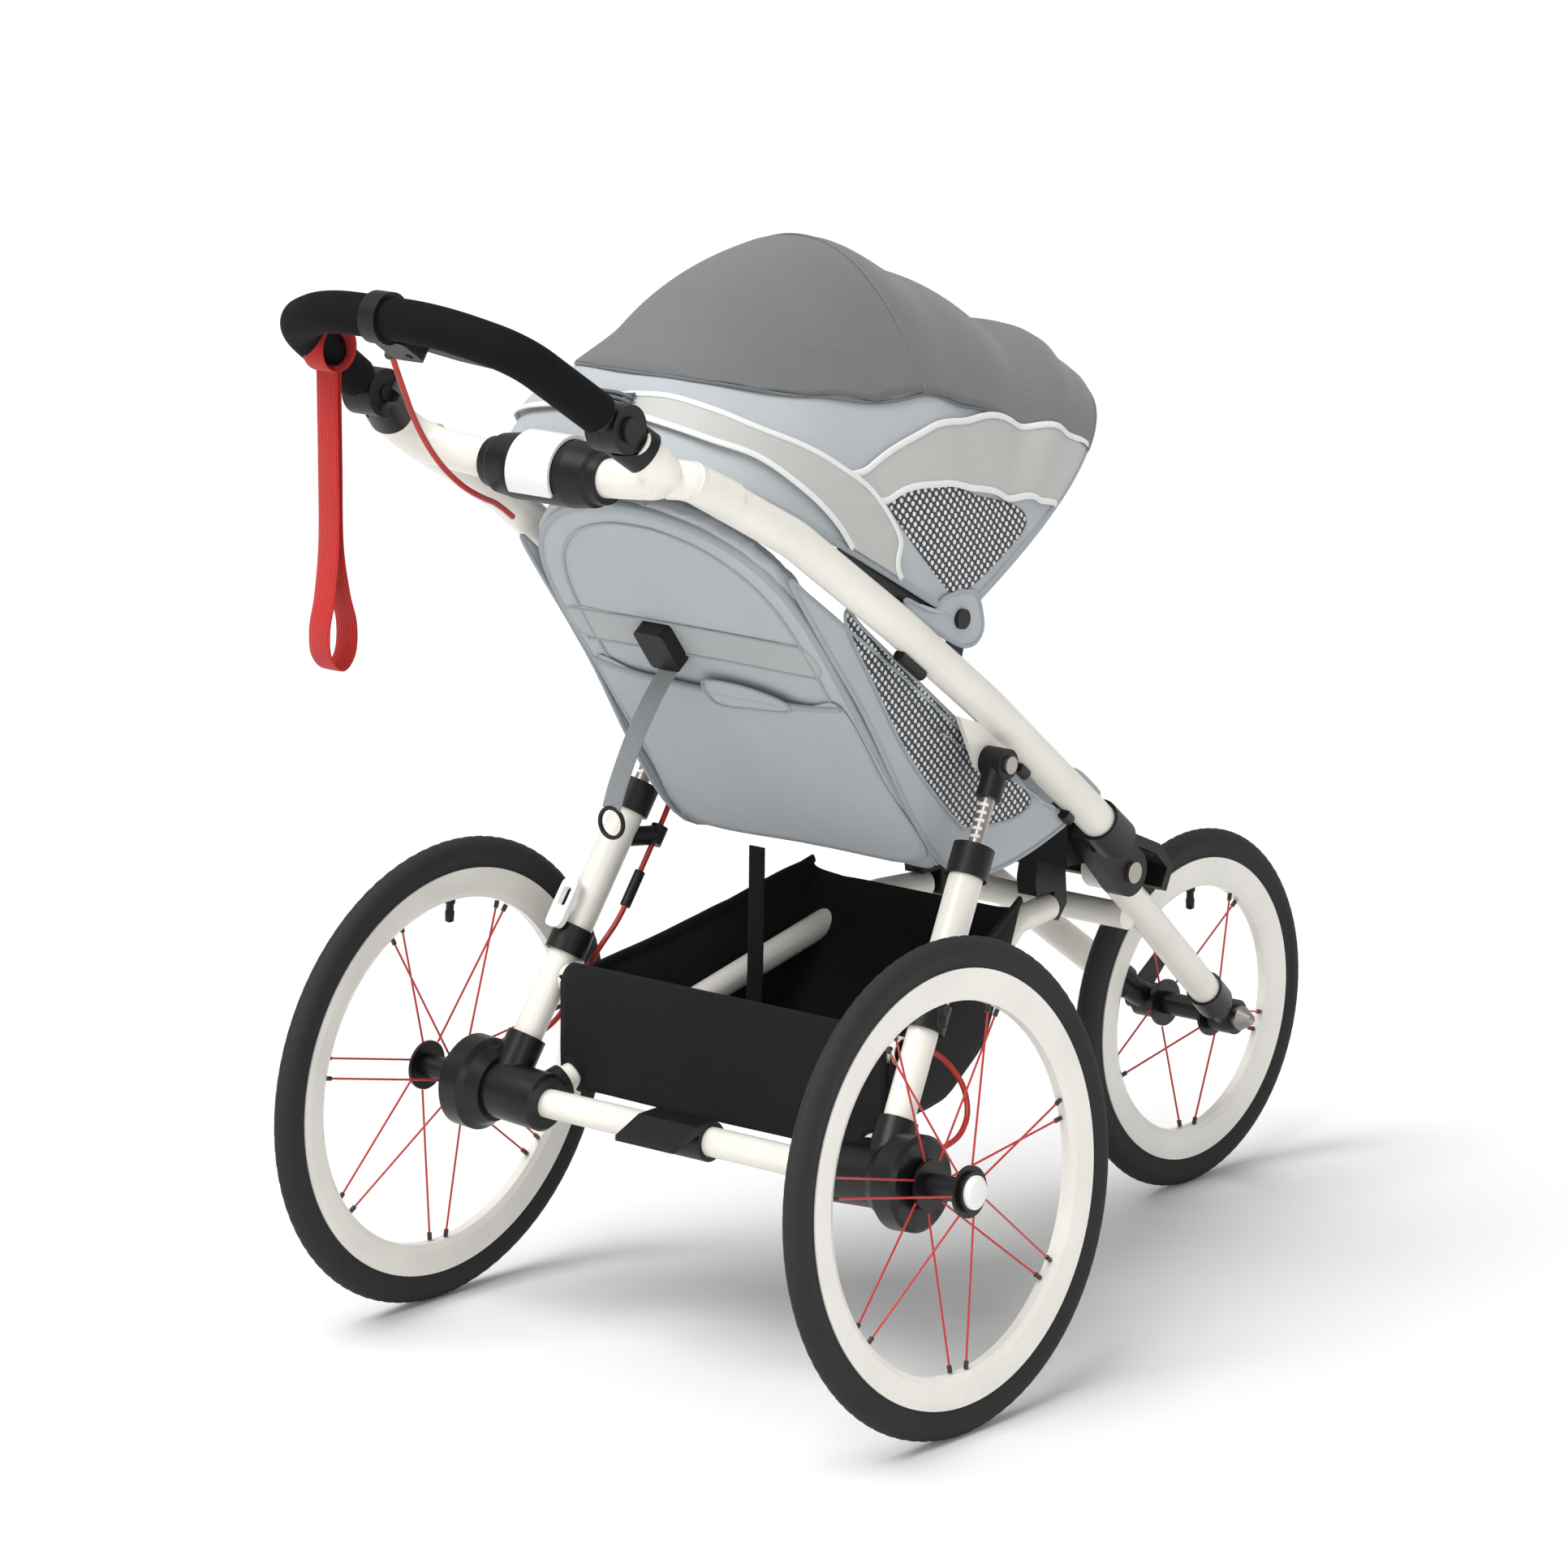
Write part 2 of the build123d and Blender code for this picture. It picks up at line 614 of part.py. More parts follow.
with BuildPart() as hinge_castings:
    with BuildSketch(Plane.YZ.offset(CHEEK_LOW_X)) as cheek:
        with Locations((HINGE_Y, HINGE_Z)):
            Circle(HINGE_RADIUS)
        with Locations((TUBE_FRONT.Y + 4, TUBE_FRONT.Z - 4)):
            Circle(SIDE_TUBE_RADIUS + 2)
        make_hull()
    extrude(amount=CHEEK_HIGH_X - CHEEK_LOW_X)
    add_rod(
        TUBE_FRONT - tube_direction * SOCKET_LENGTH,
        TUBE_FRONT + tube_direction * 10,
        SIDE_TUBE_RADIUS + 3.5,
    )
    add_rod(
        TUBE_FRONT - tube_direction * (SOCKET_LENGTH + 8),
        TUBE_FRONT + tube_direction * GAP,
        SIDE_TUBE_RADIUS + GAP,
        mode=Mode.SUBTRACT,
    )
    disc(HINGE_Y, HINGE_Z, HINGE_BOLT + GAP, CHEEK_LOW_X - 9, CHEEK_HIGH_X + 9, mode=Mode.SUBTRACT)
    mirror(about=Plane.YZ)
keep(hinge_castings, "hinge_castings")

EYE_LOW_X = 90.0
EYE_HIGH_X = CHEEK_LOW_X - GAP
BOLT_HEAD = 4.0
with BuildPart() as frame_bolts:
    disc(HINGE_Y, HINGE_Z, HINGE_BOLT, EYE_LOW_X - 2, CHEEK_HIGH_X + GAP)
    disc(HINGE_Y, HINGE_Z, HINGE_BOLT + 4, CHEEK_HIGH_X + GAP, CHEEK_HIGH_X + BOLT_HEAD)
    disc(HINGE_Y, HINGE_Z, HINGE_BOLT + 4, EYE_LOW_X - BOLT_HEAD, EYE_LOW_X - GAP)
    disc(KNUCKLE.Y, KNUCKLE.Z, KNUCKLE_BOLT, GUSSET_LOW_X - 2, KNUCKLE.X + CAP_HALF + GAP)
    disc(
        KNUCKLE.Y,
        KNUCKLE.Z,
        KNUCKLE_BOLT + 3,
        KNUCKLE.X + CAP_HALF + GAP,
        KNUCKLE.X + CAP_HALF + BOLT_HEAD,
    )
    disc(KNUCKLE.Y, KNUCKLE.Z, KNUCKLE_BOLT + 3, GUSSET_LOW_X - BOLT_HEAD, GUSSET_LOW_X - GAP)
    mirror(about=Plane.YZ)
keep(frame_bolts, "frame_bolts")

PADS = [(2, 0.1, 0.36), (3, 0.52, 0.62), (4, 0.18, 0.3)]  # the run each is on, and its ends' shares of it
with BuildPart() as tube_pads:
    for start, share_low, share_high in PADS:
        low = between(TUBE_POINTS[start], TUBE_POINTS[start + 1], share_low)
        high = between(TUBE_POINTS[start], TUBE_POINTS[start + 1], share_high)
        drop = Vector(0, -sin(TUBE_SLOPE), -cos(TUBE_SLOPE)) * (SIDE_TUBE_RADIUS + 3.5)
        add_rod(low + drop, high + drop, 5.5)
        add_rod(
            low - tube_direction * 9,
            high + tube_direction * 9,
            SIDE_TUBE_RADIUS + GAP,
            mode=Mode.SUBTRACT,
        )
    mirror(about=Plane.YZ)
keep(tube_pads, "tube_pads")

# ---- handlebar ----------------------------------------------------------------------------------------
handle_plane = Plane(
    origin=(0, HANDLE_Y, HANDLE_Z),
    x_dir=(1, 0, 0),
    z_dir=(0, sin(HANDLE_RISE), cos(HANDLE_RISE)),
)
HANDLE_CORNER = (127.0, 128.0)
HANDLE_FLAT = 62.0
FOAM_START = 26.0


def on_handle(x, reach, lift=0.0):
    """A point by its place across the bar, its distance from the pivots and its height off the plane."""
    return handle_plane.from_local_coords((x, -reach, lift))


with BuildPart() as handlebar_grip:
    add_tube(
        [
            on_handle(HANDLE_X - 2, FOAM_START),
            on_handle(*HANDLE_CORNER),
            on_handle(HANDLE_FLAT, HANDLE_REACH),
            on_handle(-HANDLE_FLAT, HANDLE_REACH),
            on_handle(-HANDLE_CORNER[0], HANDLE_CORNER[1]),
            on_handle(-HANDLE_X + 2, FOAM_START),
        ],
        [52, 130, 130, 52],
        GRIP_RADIUS,
    )
keep(handlebar_grip, "handlebar_grip")

PIVOT_RADIUS = 21.0
PIVOT_LOW_X = HANDLE_X - 1
PIVOT_HIGH_X = HANDLE_X + 15
PIN_RADIUS = 7.0
with BuildPart() as handlebar_knuckles:
    disc(HANDLE_Y, HANDLE_Z, PIVOT_RADIUS, PIVOT_LOW_X, PIVOT_HIGH_X)
    add_rod(on_handle(HANDLE_X + 2, 0), on_handle(HANDLE_X - 2, FOAM_START + 8), 13)
    disc(HANDLE_Y, HANDLE_Z, PIVOT_RADIUS + 1, PIVOT_LOW_X - 40, PIVOT_LOW_X, mode=Mode.SUBTRACT)
    disc(HANDLE_Y, HANDLE_Z, PIN_RADIUS + RUNNING, PIVOT_LOW_X - 9, PIVOT_HIGH_X + 9, mode=Mode.SUBTRACT)
    add_tube(
        [on_handle(HANDLE_X - 2, FOAM_START - GAP), on_handle(*HANDLE_CORNER)],
        None,
        GRIP_RADIUS + GAP,
        mode=Mode.SUBTRACT,
    )
    mirror(about=Plane.YZ)
keep(handlebar_knuckles, "handlebar_knuckles")

with BuildPart() as handlebar_sockets:
    disc(HANDLE_Y, HANDLE_Z, PIVOT_RADIUS, HANDLE_X - 17, PIVOT_LOW_X - GAP)
    add_rod(BOW_START - Vector(8, 0, 0), BOW_START + bow_direction * (SOCKET_GAP + 16), BOW_RADIUS + 2.5)
    disc(HANDLE_Y, HANDLE_Z, PIVOT_RADIUS + 2, PIVOT_LOW_X - GAP, PIVOT_HIGH_X + 40, mode=Mode.SUBTRACT)
    disc(HANDLE_Y, HANDLE_Z, PIN_RADIUS + GAP, HANDLE_X - 40, PIVOT_LOW_X, mode=Mode.SUBTRACT)
    add_rod(
        BOW_START + bow_direction * (SOCKET_GAP - GAP),
        BOW_BEND,
        BOW_RADIUS + GAP,
        mode=Mode.SUBTRACT,
    )
    disc(HANDLE_Y, HANDLE_Z, PIN_RADIUS, HANDLE_X - 19, PIVOT_HIGH_X + GAP)
    disc(HANDLE_Y, HANDLE_Z, PIN_RADIUS + 4, PIVOT_HIGH_X + GAP, PIVOT_HIGH_X + BOLT_HEAD)
    mirror(about=Plane.YZ)
keep(handlebar_sockets, "handlebar_sockets")

BRACKET_X = 4.0
LEVER_PIVOT_REACH = 128.0
with BuildPart() as brake_bracket:
    add_rod(
        on_handle(BRACKET_X - 9, HANDLE_REACH),
        on_handle(BRACKET_X + 9, HANDLE_REACH),
        GRIP_RADIUS + CLAMP_WALL,
    )
    with BuildSketch(handle_plane.offset(-16)):
        with Locations((BRACKET_X + 2, -LEVER_PIVOT_REACH - 8)):
            RectangleRounded(36, 34, 6)
    extrude(amount=12)
    add_rod(
        on_handle(BRACKET_X - 60, HANDLE_REACH),
        on_handle(BRACKET_X + 56, HANDLE_REACH),
        GRIP_RADIUS + GAP,
        mode=Mode.SUBTRACT,
    )
    add_rod(
        on_handle(BRACKET_X - 16, LEVER_PIVOT_REACH, -10),
        on_handle(BRACKET_X - 26, LEVER_PIVOT_REACH - 12, -12),
        4,
    )
    add_rod(
        on_handle(BRACKET_X + 8, LEVER_PIVOT_REACH, -40),
        on_handle(BRACKET_X + 8, LEVER_PIVOT_REACH, 9),
        3 + GAP,
        mode=Mode.SUBTRACT,
    )
    add_rod(
        on_handle(BRACKET_X + 8, LEVER_PIVOT_REACH, -17),
        on_handle(BRACKET_X + 8, LEVER_PIVOT_REACH, 8),
        3,
    )
keep(brake_bracket, "brake_bracket")

LEVER_LENGTH = 92.0
LEVER_THICK = 8.0
LEVER_SPREAD = 17.0  # how far the tip rests off the bar's side of the pivot
with BuildPart() as brake_lever:
    with BuildSketch(handle_plane.offset(-4 + GAP)):
        with BuildLine():
            FilletPolyline(
                (BRACKET_X - 4, -LEVER_PIVOT_REACH + 7),
                (BRACKET_X + 40, -LEVER_PIVOT_REACH + 15 + LEVER_SPREAD / 2),
                (BRACKET_X + LEVER_LENGTH, -LEVER_PIVOT_REACH + 17 + LEVER_SPREAD),
                (BRACKET_X + LEVER_LENGTH, -LEVER_PIVOT_REACH + 5 + LEVER_SPREAD),
                (BRACKET_X + 40, -LEVER_PIVOT_REACH + 4 + LEVER_SPREAD / 2),
                (BRACKET_X + 20, -LEVER_PIVOT_REACH - 7),
                (BRACKET_X - 4, -LEVER_PIVOT_REACH - 7),
                radius=3,
                close=True,
            )
        make_face()
        with Locations((BRACKET_X + 8, -LEVER_PIVOT_REACH)):
            Circle(3 + RUNNING, mode=Mode.SUBTRACT)
    extrude(amount=LEVER_THICK)
keep(brake_lever, "brake_lever")

STRAP_X = -118.0
STRAP_HALF = 12.5
STRAP_Y = -568.0
STRAP_TOP_Z = 929.2
STRAP_LOW_Z = 672.0
with BuildPart() as wrist_strap:
    slab(
        [
            (STRAP_Y - 3, STRAP_TOP_Z),
            (STRAP_Y + 3, STRAP_TOP_Z),
            (STRAP_Y + 4, STRAP_TOP_Z - 150),
            (STRAP_Y + 20, STRAP_LOW_Z + 46),
            (STRAP_Y + 16, STRAP_LOW_Z + 10),
            (STRAP_Y, STRAP_LOW_Z),
            (STRAP_Y - 15, STRAP_LOW_Z + 10),
            (STRAP_Y - 17, STRAP_LOW_Z + 46),
            (STRAP_Y - 4, STRAP_TOP_Z - 150),
        ],
        STRAP_X - STRAP_HALF,
        STRAP_X + STRAP_HALF,
    )
    slab(
        [
            (STRAP_Y, STRAP_TOP_Z - 158),
            (STRAP_Y + 16, STRAP_LOW_Z + 45),
            (STRAP_Y + 13, STRAP_LOW_Z + 12),
            (STRAP_Y, STRAP_LOW_Z + 4),
            (STRAP_Y - 12, STRAP_LOW_Z + 12),
            (STRAP_Y - 13, STRAP_LOW_Z + 45),
        ],
        STRAP_X - STRAP_HALF,
        STRAP_X + STRAP_HALF,
        mode=Mode.SUBTRACT,
    )
keep(wrist_strap, "wrist_strap")

# ---- release lever on the centre housing --------------------------------------------------------------
RELEASE_HALF = 24.0
RELEASE_WALL = 3.0
with BuildPart() as release_lever:
    outer = BARREL_RADIUS + GAP + RELEASE_WALL
    with BuildSketch(Plane.YZ.offset(-RELEASE_HALF)):
        with BuildLine():
            inner_arc = CenterArc((HOUSING_Y, HOUSING_Z), BARREL_RADIUS + GAP + 0.4, 62, 150)
            outer_arc = CenterArc((HOUSING_Y, HOUSING_Z), outer + 0.4, 62, 150)
            Line(inner_arc @ 0, outer_arc @ 0)
            Line(inner_arc @ 1, outer_arc @ 1)
        make_face()
    extrude(amount=2 * RELEASE_HALF)
keep(release_lever, "release_lever")

# ---- seat ---------------------------------------------------------------------------------------------
SEAT_FRONT_Y = 196.0
SEAT_PAN_HALF = 128.0
with BuildPart() as seat_pan:
    slab(
        [
            (-44, 447),
            (96, 462),
            (160, 466),
            (SEAT_FRONT_Y, 448),
            (SEAT_FRONT_Y + 8, 462),
            (172, 492),
            (100, 496),
            (-44, 472),
        ],
        -SEAT_PAN_HALF,
        SEAT_PAN_HALF,
    )
keep(seat_pan, "seat_pan")

PANEL_INNER = 153.0
PANEL_THICK = 4.0
RECLINE_PIN = 4.0
PIN_REACH = 24.0
with BuildPart() as seat_sides:
    slab(
        [(-66, 444), (100, 456), (20, 515), (-60, 574), (-160, 650), (-262, 724), (-284, 738)],
        PANEL_INNER,
        PANEL_INNER + PANEL_THICK,
    )
    slab([(-40, 447), (96, 459), (96, 463), (-40, 451)], SEAT_PAN_HALF + GAP, PANEL_INNER)
    disc(RECLINE_Y, RECLINE_Z, RECLINE_PIN, PANEL_INNER - PIN_REACH, PANEL_INNER + 1)
    mirror(about=Plane.YZ)
keep(seat_sides, "seat_sides")

RECLINE_ANGLE = radians(53.5)  # the backrest above the horizontal, leaning back
BACK_FOOT = (-69.0, 444.0)  # foot of the rear face
BACK_LENGTH = 440.0
BACK_THICK = 18.0
BACK_HALF = SEAT_HALF
BACK_CROWN = 122.0  # height of the arched top
backrest_plane = Plane(
    origin=(0, *BACK_FOOT),
    x_dir=(1, 0, 0),
    z_dir=(0, -sin(RECLINE_ANGLE), -cos(RECLINE_ANGLE)),
)


def on_backrest(x, height, out=0.0):
    """A point by its place across the backrest, up it from the foot and out from its rear face."""
    return backrest_plane.from_local_coords((x, height, out))


def backrest_panel(inset, foot, low, high, mode=Mode.ADD):
    """Adds or cuts a panel with straight sides and an arched top, between two depths."""
    half = BACK_HALF - inset
    shoulder = BACK_LENGTH - BACK_CROWN
    top = BACK_LENGTH - inset
    bulge = shoulder + (top - shoulder) * 0.7
    with BuildSketch(backrest_plane.offset(low)) as panel:
        with BuildLine():
            Polyline((-half, shoulder), (-half, foot), (half, foot), (half, shoulder))
            ThreePointArc((half, shoulder), (half * 0.78, bulge), (0, top))
            ThreePointArc((-half, shoulder), (-half * 0.78, bulge), (0, top))
        make_face()
    extrude(panel.sketch, amount=high - low, mode=mode)


PAD_INSET = 12.0
PAD_FOOT = 36.0
PAD_THICK = 16.0
with BuildPart() as backrest_shell:
    backrest_panel(0, 4, -BACK_THICK, 0)
    disc(
        RECLINE_Y,
        RECLINE_Z,
        RECLINE_PIN + RUNNING,
        PANEL_INNER - PIN_REACH - 1,
        BACK_HALF + 9,
        mode=Mode.SUBTRACT,
    )
    disc(
        RECLINE_Y,
        RECLINE_Z,
        RECLINE_PIN + RUNNING,
        -BACK_HALF - 9,
        PIN_REACH + 1 - PANEL_INNER,
        mode=Mode.SUBTRACT,
    )
keep(backrest_shell, "backrest_shell")

with BuildPart() as backrest_pad:
    backrest_panel(PAD_INSET, PAD_FOOT, -BACK_THICK - PAD_THICK, -BACK_THICK - GAP)
keep(backrest_pad, "backrest_pad")

BUCKLE_X = -42.0
BUCKLE_HEIGHT = 262.0
STRAP_WIDTH = 22.0
with BuildPart() as recline_buckle:
    with BuildSketch(backrest_plane.offset(GAP)):
        with Locations((BUCKLE_X, BUCKLE_HEIGHT)):
            RectangleRounded(34, 46, 5)
    extrude(amount=15)
keep(recline_buckle, "recline_buckle")

strap_head = on_backrest(BUCKLE_X, BUCKLE_HEIGHT - 24, 12)
RING_RADIUS = 14.0
RING_WIRE = 2.2
RING_Z = 494.0
STRAP_THICK = 2.4
with BuildPart() as recline_strap:
    slab(
        [
            (strap_head.Y, strap_head.Z),
            (strap_head.Y - 22, strap_head.Z - 34),
            (strap_head.Y - 34, strap_head.Z - 80),
            (strap_head.Y - 37, RING_Z + RING_RADIUS + 2),
            (strap_head.Y - 37 + STRAP_THICK, RING_Z + RING_RADIUS + 2),
            (strap_head.Y - 34 + STRAP_THICK, strap_head.Z - 80),
            (strap_head.Y - 22 + STRAP_THICK, strap_head.Z - 36),
            (strap_head.Y + STRAP_THICK, strap_head.Z - 2),
        ],
        BUCKLE_X - STRAP_WIDTH / 2,
        BUCKLE_X + STRAP_WIDTH / 2,
    )
    with BuildSketch(Plane.YZ.offset(BUCKLE_X)):
        with Locations((strap_head.Y - 36, RING_Z + RING_RADIUS)):
            Circle(RING_WIRE)
    revolve(axis=Axis((BUCKLE_X, strap_head.Y - 36, RING_Z), (0, 1, 0)), revolution_arc=360)
keep(recline_strap, "recline_strap")

HARNESS_X = 62.0
with BuildPart() as harness_straps:
    for side in SIDES:
        with BuildSketch(backrest_plane.offset(-BACK_THICK - PAD_THICK - GAP)):
            with Locations((side * HARNESS_X, 230)):
                RectangleRounded(34, 190, 10)
        extrude(amount=-9)
keep(harness_straps, "harness_straps")

# ---- canopy -------------------------------------------------------------------------------------------
# Each rib is an arch in a plane through the pivots: its angle above the horizontal, forward being 0, its
# reach from the pivots and its squareness, 2 for an ellipse.
CANOPY_RIBS = [
    (27, 357, 2.5),
    (36, 338, 2.4),
    (52, 289, 2.3),
    (75, 293, 2.2),
    (96, 325, 2.1),
    (124, 334, 2.1),
    (151, 350, 3.6),
]
CANOPY_HALF = 168.0
CANOPY_SKIN = 3.0
CANOPY_HEM = 22.0  # height of the fabric's lower edge off the pivots
FOLD_GAP = 0.35  # degrees between fabric pieces that move apart


def rib_shape(angle):
    """The reach and squareness of the rib at an angle, between the listed ones."""
    for (low, reach_a, square_a), (high, reach_b, square_b) in zip(CANOPY_RIBS, CANOPY_RIBS[1:]):
        if low <= angle <= high:
            share = (angle - low) / (high - low)
            share = share * share * (3 - 2 * share)
            return reach_a + (reach_b - reach_a) * share, square_a + (square_b - square_a) * share
    raise ValueError(angle)


def rib_points(angle, inset, steps=18):
    """One side of an arch, from the right hem over the top to the left hem."""
    reach, square = rib_shape(angle)
    half = CANOPY_HALF - inset
    reach = reach - inset
    hem = asin((CANOPY_HEM / reach) ** (square / 2))
    points = []
    for step in range(steps + 1):
        turned = hem + (pi - 2 * hem) * step / steps
        across = half * abs(cos(turned)) ** (2 / square)
        up = reach * sin(turned) ** (2 / square)
        points.append((across if cos(turned) > 0 else -across, up))
    return points


def canopy_panel(low, high, outer, inner, steps):
    """Adds a curved fabric panel between two rib angles to the open part."""
    sections = []
    for step in range(steps + 1):
        angle = low + (high - low) * step / steps
        tilt = radians(angle)
        rib_plane = Plane(
            origin=(0, CANOPY_Y, CANOPY_Z), x_dir=(1, 0, 0), z_dir=(0, -sin(tilt), cos(tilt))
        )
        with BuildSketch(rib_plane, mode=Mode.PRIVATE) as rib:
            with BuildLine():
                Polyline(*rib_points(angle, outer), *reversed(rib_points(angle, inner)), close=True)
            make_face()
        sections.append(rib.sketch)
    loft(sections, ruled=True)


FOLD_LOW = 52.0
FOLD_HIGH = 96.0
with BuildPart() as canopy_rear:
    canopy_panel(FOLD_HIGH + FOLD_GAP, 151, 0, CANOPY_SKIN, 4)
keep(canopy_rear, "canopy_rear")

with BuildPart() as canopy_middle:
    canopy_panel(FOLD_LOW + FOLD_GAP, FOLD_HIGH - FOLD_GAP, 0, CANOPY_SKIN, 3)
keep(canopy_middle, "canopy_middle")

with BuildPart() as canopy_visor:
    canopy_panel(27, FOLD_LOW - FOLD_GAP, 0, CANOPY_SKIN, 3)
keep(canopy_visor, "canopy_visor")

CANOPY_PIN = 4.0
BOW_WIRE = 6.0
BOW_INSET = 7.4
ARM_LOW_X = 158.8
ARM_HIGH_X = 164.4
bow_tilt = radians(28)
with BuildPart() as canopy_bow:
    canopy_panel(27.4, 28.8, BOW_INSET, BOW_INSET + BOW_WIRE, 1)
    slab(
        [
            (CANOPY_Y - 6, CANOPY_Z + 4),
            (CANOPY_Y + 2, CANOPY_Z - 6),
            (CANOPY_Y + 40 * cos(bow_tilt) + 3, CANOPY_Z + 40 * sin(bow_tilt) - 3),
            (CANOPY_Y + 40 * cos(bow_tilt) - 3, CANOPY_Z + 40 * sin(bow_tilt) + 3),
        ],
        ARM_LOW_X,
        ARM_HIGH_X,
    )
    disc(CANOPY_Y, CANOPY_Z, 10, ARM_LOW_X, ARM_HIGH_X)
    disc(CANOPY_Y, CANOPY_Z, CANOPY_PIN + RUNNING, ARM_LOW_X - 9, ARM_HIGH_X + 9, mode=Mode.SUBTRACT)
    mirror(about=Plane.YZ)
keep(canopy_bow, "canopy_bow")

POST_HIGH_X = ARM_HIGH_X + 5
with BuildPart() as canopy_pivots:
    with BuildSketch(Plane.YZ.offset(ARM_HIGH_X + GAP)) as post:
        with Locations((CANOPY_Y, CANOPY_Z)):
            Circle(12)
        with Locations((CANOPY_Y - 8, CANOPY_Z - 44)):
            Circle(9)
        make_hull()
    extrude(amount=POST_HIGH_X - ARM_HIGH_X - GAP)
    disc(CANOPY_Y, CANOPY_Z, CANOPY_PIN, ARM_LOW_X - 2, POST_HIGH_X + 4)
    disc(CANOPY_Y, CANOPY_Z, 9, POST_HIGH_X, POST_HIGH_X + 5)
    hem_rise = tan(radians(29))
    slab(
        [
            (CANOPY_Y - 22, CANOPY_Z - 44),
            (CANOPY_Y - 22, CANOPY_Z + 22 * hem_rise - 0.8),
            (CANOPY_Y - 160, CANOPY_Z + 160 * hem_rise - 0.8),
            (CANOPY_Y - 160, CANOPY_Z + 58),
        ],
        160.8,
        ARM_HIGH_X,
    )
    add_tube(TUBE_POINTS, TUBE_BENDS, SIDE_TUBE_RADIUS + GAP, mode=Mode.SUBTRACT)
    mirror(about=Plane.YZ)
keep(canopy_pivots, "canopy_pivots")

# ---- latch under the seat and footrest ----------------------------------------------------------------
BEAM_BACK_Y = 158.0
BEAM_FRONT_Y = 200.0
LATCH_INNER = 56.0
LATCH_OUTER = 78.0
with BuildPart() as latch_block:
    slab(
        [
            (BEAM_BACK_Y, 400),
            (BEAM_FRONT_Y, 398),
            (BEAM_FRONT_Y, 445.4),
            (196, 447.4),
            (BEAM_BACK_Y, 465.2),
        ],
        -CHEEK_LOW_X + GAP,
        CHEEK_LOW_X - GAP,
    )
    for side in SIDES:
        low_x, high_x = sorted((side * LATCH_INNER, side * LATCH_OUTER))
        slab(
            [
                (RAIL_END.Y + 3, 342),
                (RAIL_END.Y + 9, 337),
                (RAIL_END.Y + 22, 352),
                (BEAM_FRONT_Y, 401),
                (BEAM_BACK_Y + 2, 401),
                (BEAM_BACK_Y - 2, 382),
                (RAIL_END.Y - 24, RAIL_END.Z + RAIL_RADIUS + 3),
                (RAIL_END.Y + 3, RAIL_END.Z + RAIL_RADIUS + 3),
            ],
            low_x,
            high_x,
        )
keep(latch_block, "latch_block")

with BuildPart() as footrest:
    slab(
        [
            (BEAM_FRONT_Y + GAP, 442),
            (262, 414),
            (312, 392),
            (334, 367),
            (323, 344),
            (315, 349),
            (324, 366),
            (306, 384),
            (258, 405),
            (BEAM_FRONT_Y + GAP, 432),
        ],
        -104,
        104,
    )
keep(footrest, "footrest")

# ---- fork ---------------------------------------------------------------------------------------------
FORK_TOP = Vector(101.5, HINGE_Y + 7, HINGE_Z - 4)
FORK_FOOT = Vector(57, 462, 203.8)
FORK_CROSS_Y = 283.0
FORK_CROSS_Z = 325.0
fork_direction = (FORK_FOOT - FORK_TOP).normalized()
DROPOUT_LOW_X = FRONT_FLANGES + 4 + GAP
DROPOUT_HIGH_X = 58.0
SKEWER_RADIUS = AXLE_RADIUS

with BuildPart() as fork_tubes:
    disc(HINGE_Y, HINGE_Z, 20, EYE_LOW_X, EYE_HIGH_X)
    add_rod(FORK_TOP, FORK_FOOT, FORK_RADIUS)
    add_rod((0, FORK_CROSS_Y, FORK_CROSS_Z), (90, FORK_CROSS_Y, FORK_CROSS_Z), FORK_CROSS_RADIUS)
    disc(HINGE_Y, HINGE_Z, 90, EYE_HIGH_X, CHEEK_HIGH_X, mode=Mode.SUBTRACT)
    disc(HINGE_Y, HINGE_Z, HINGE_BOLT + RUNNING, EYE_LOW_X - 9, EYE_HIGH_X + 9, mode=Mode.SUBTRACT)
    disc(HINGE_Y, HINGE_Z, HINGE_BOLT + 6, EYE_LOW_X - 30, EYE_LOW_X, mode=Mode.SUBTRACT)
    mirror(about=Plane.YZ)
keep(fork_tubes, "fork_tubes")

with BuildPart() as fork_dropouts:
    disc(FRONT_AXLE_Y, FRONT_RADIUS, 17, DROPOUT_LOW_X, DROPOUT_HIGH_X)
    axle_eye = Vector((DROPOUT_LOW_X + DROPOUT_HIGH_X) / 2, FRONT_AXLE_Y, FRONT_RADIUS)
    add_rod(FORK_FOOT - fork_direction * 22, FORK_FOOT + fork_direction * 8, FORK_RADIUS + 3)
    add_rod(FORK_FOOT + fork_direction * 6, axle_eye, 13)
    disc(FRONT_AXLE_Y, FRONT_RADIUS, 60, DROPOUT_LOW_X - 40, DROPOUT_LOW_X, mode=Mode.SUBTRACT)
    add_rod(
        FORK_FOOT - fork_direction * 40,
        FORK_FOOT + fork_direction * GAP,
        FORK_RADIUS + GAP,
        mode=Mode.SUBTRACT,
    )
    disc(FRONT_AXLE_Y, FRONT_RADIUS, SKEWER_RADIUS + GAP, 0, 90, mode=Mode.SUBTRACT)
    disc(FRONT_AXLE_Y, FRONT_RADIUS, 24, DROPOUT_HIGH_X, 120, mode=Mode.SUBTRACT)
    mirror(about=Plane.YZ)
keep(fork_dropouts, "fork_dropouts")

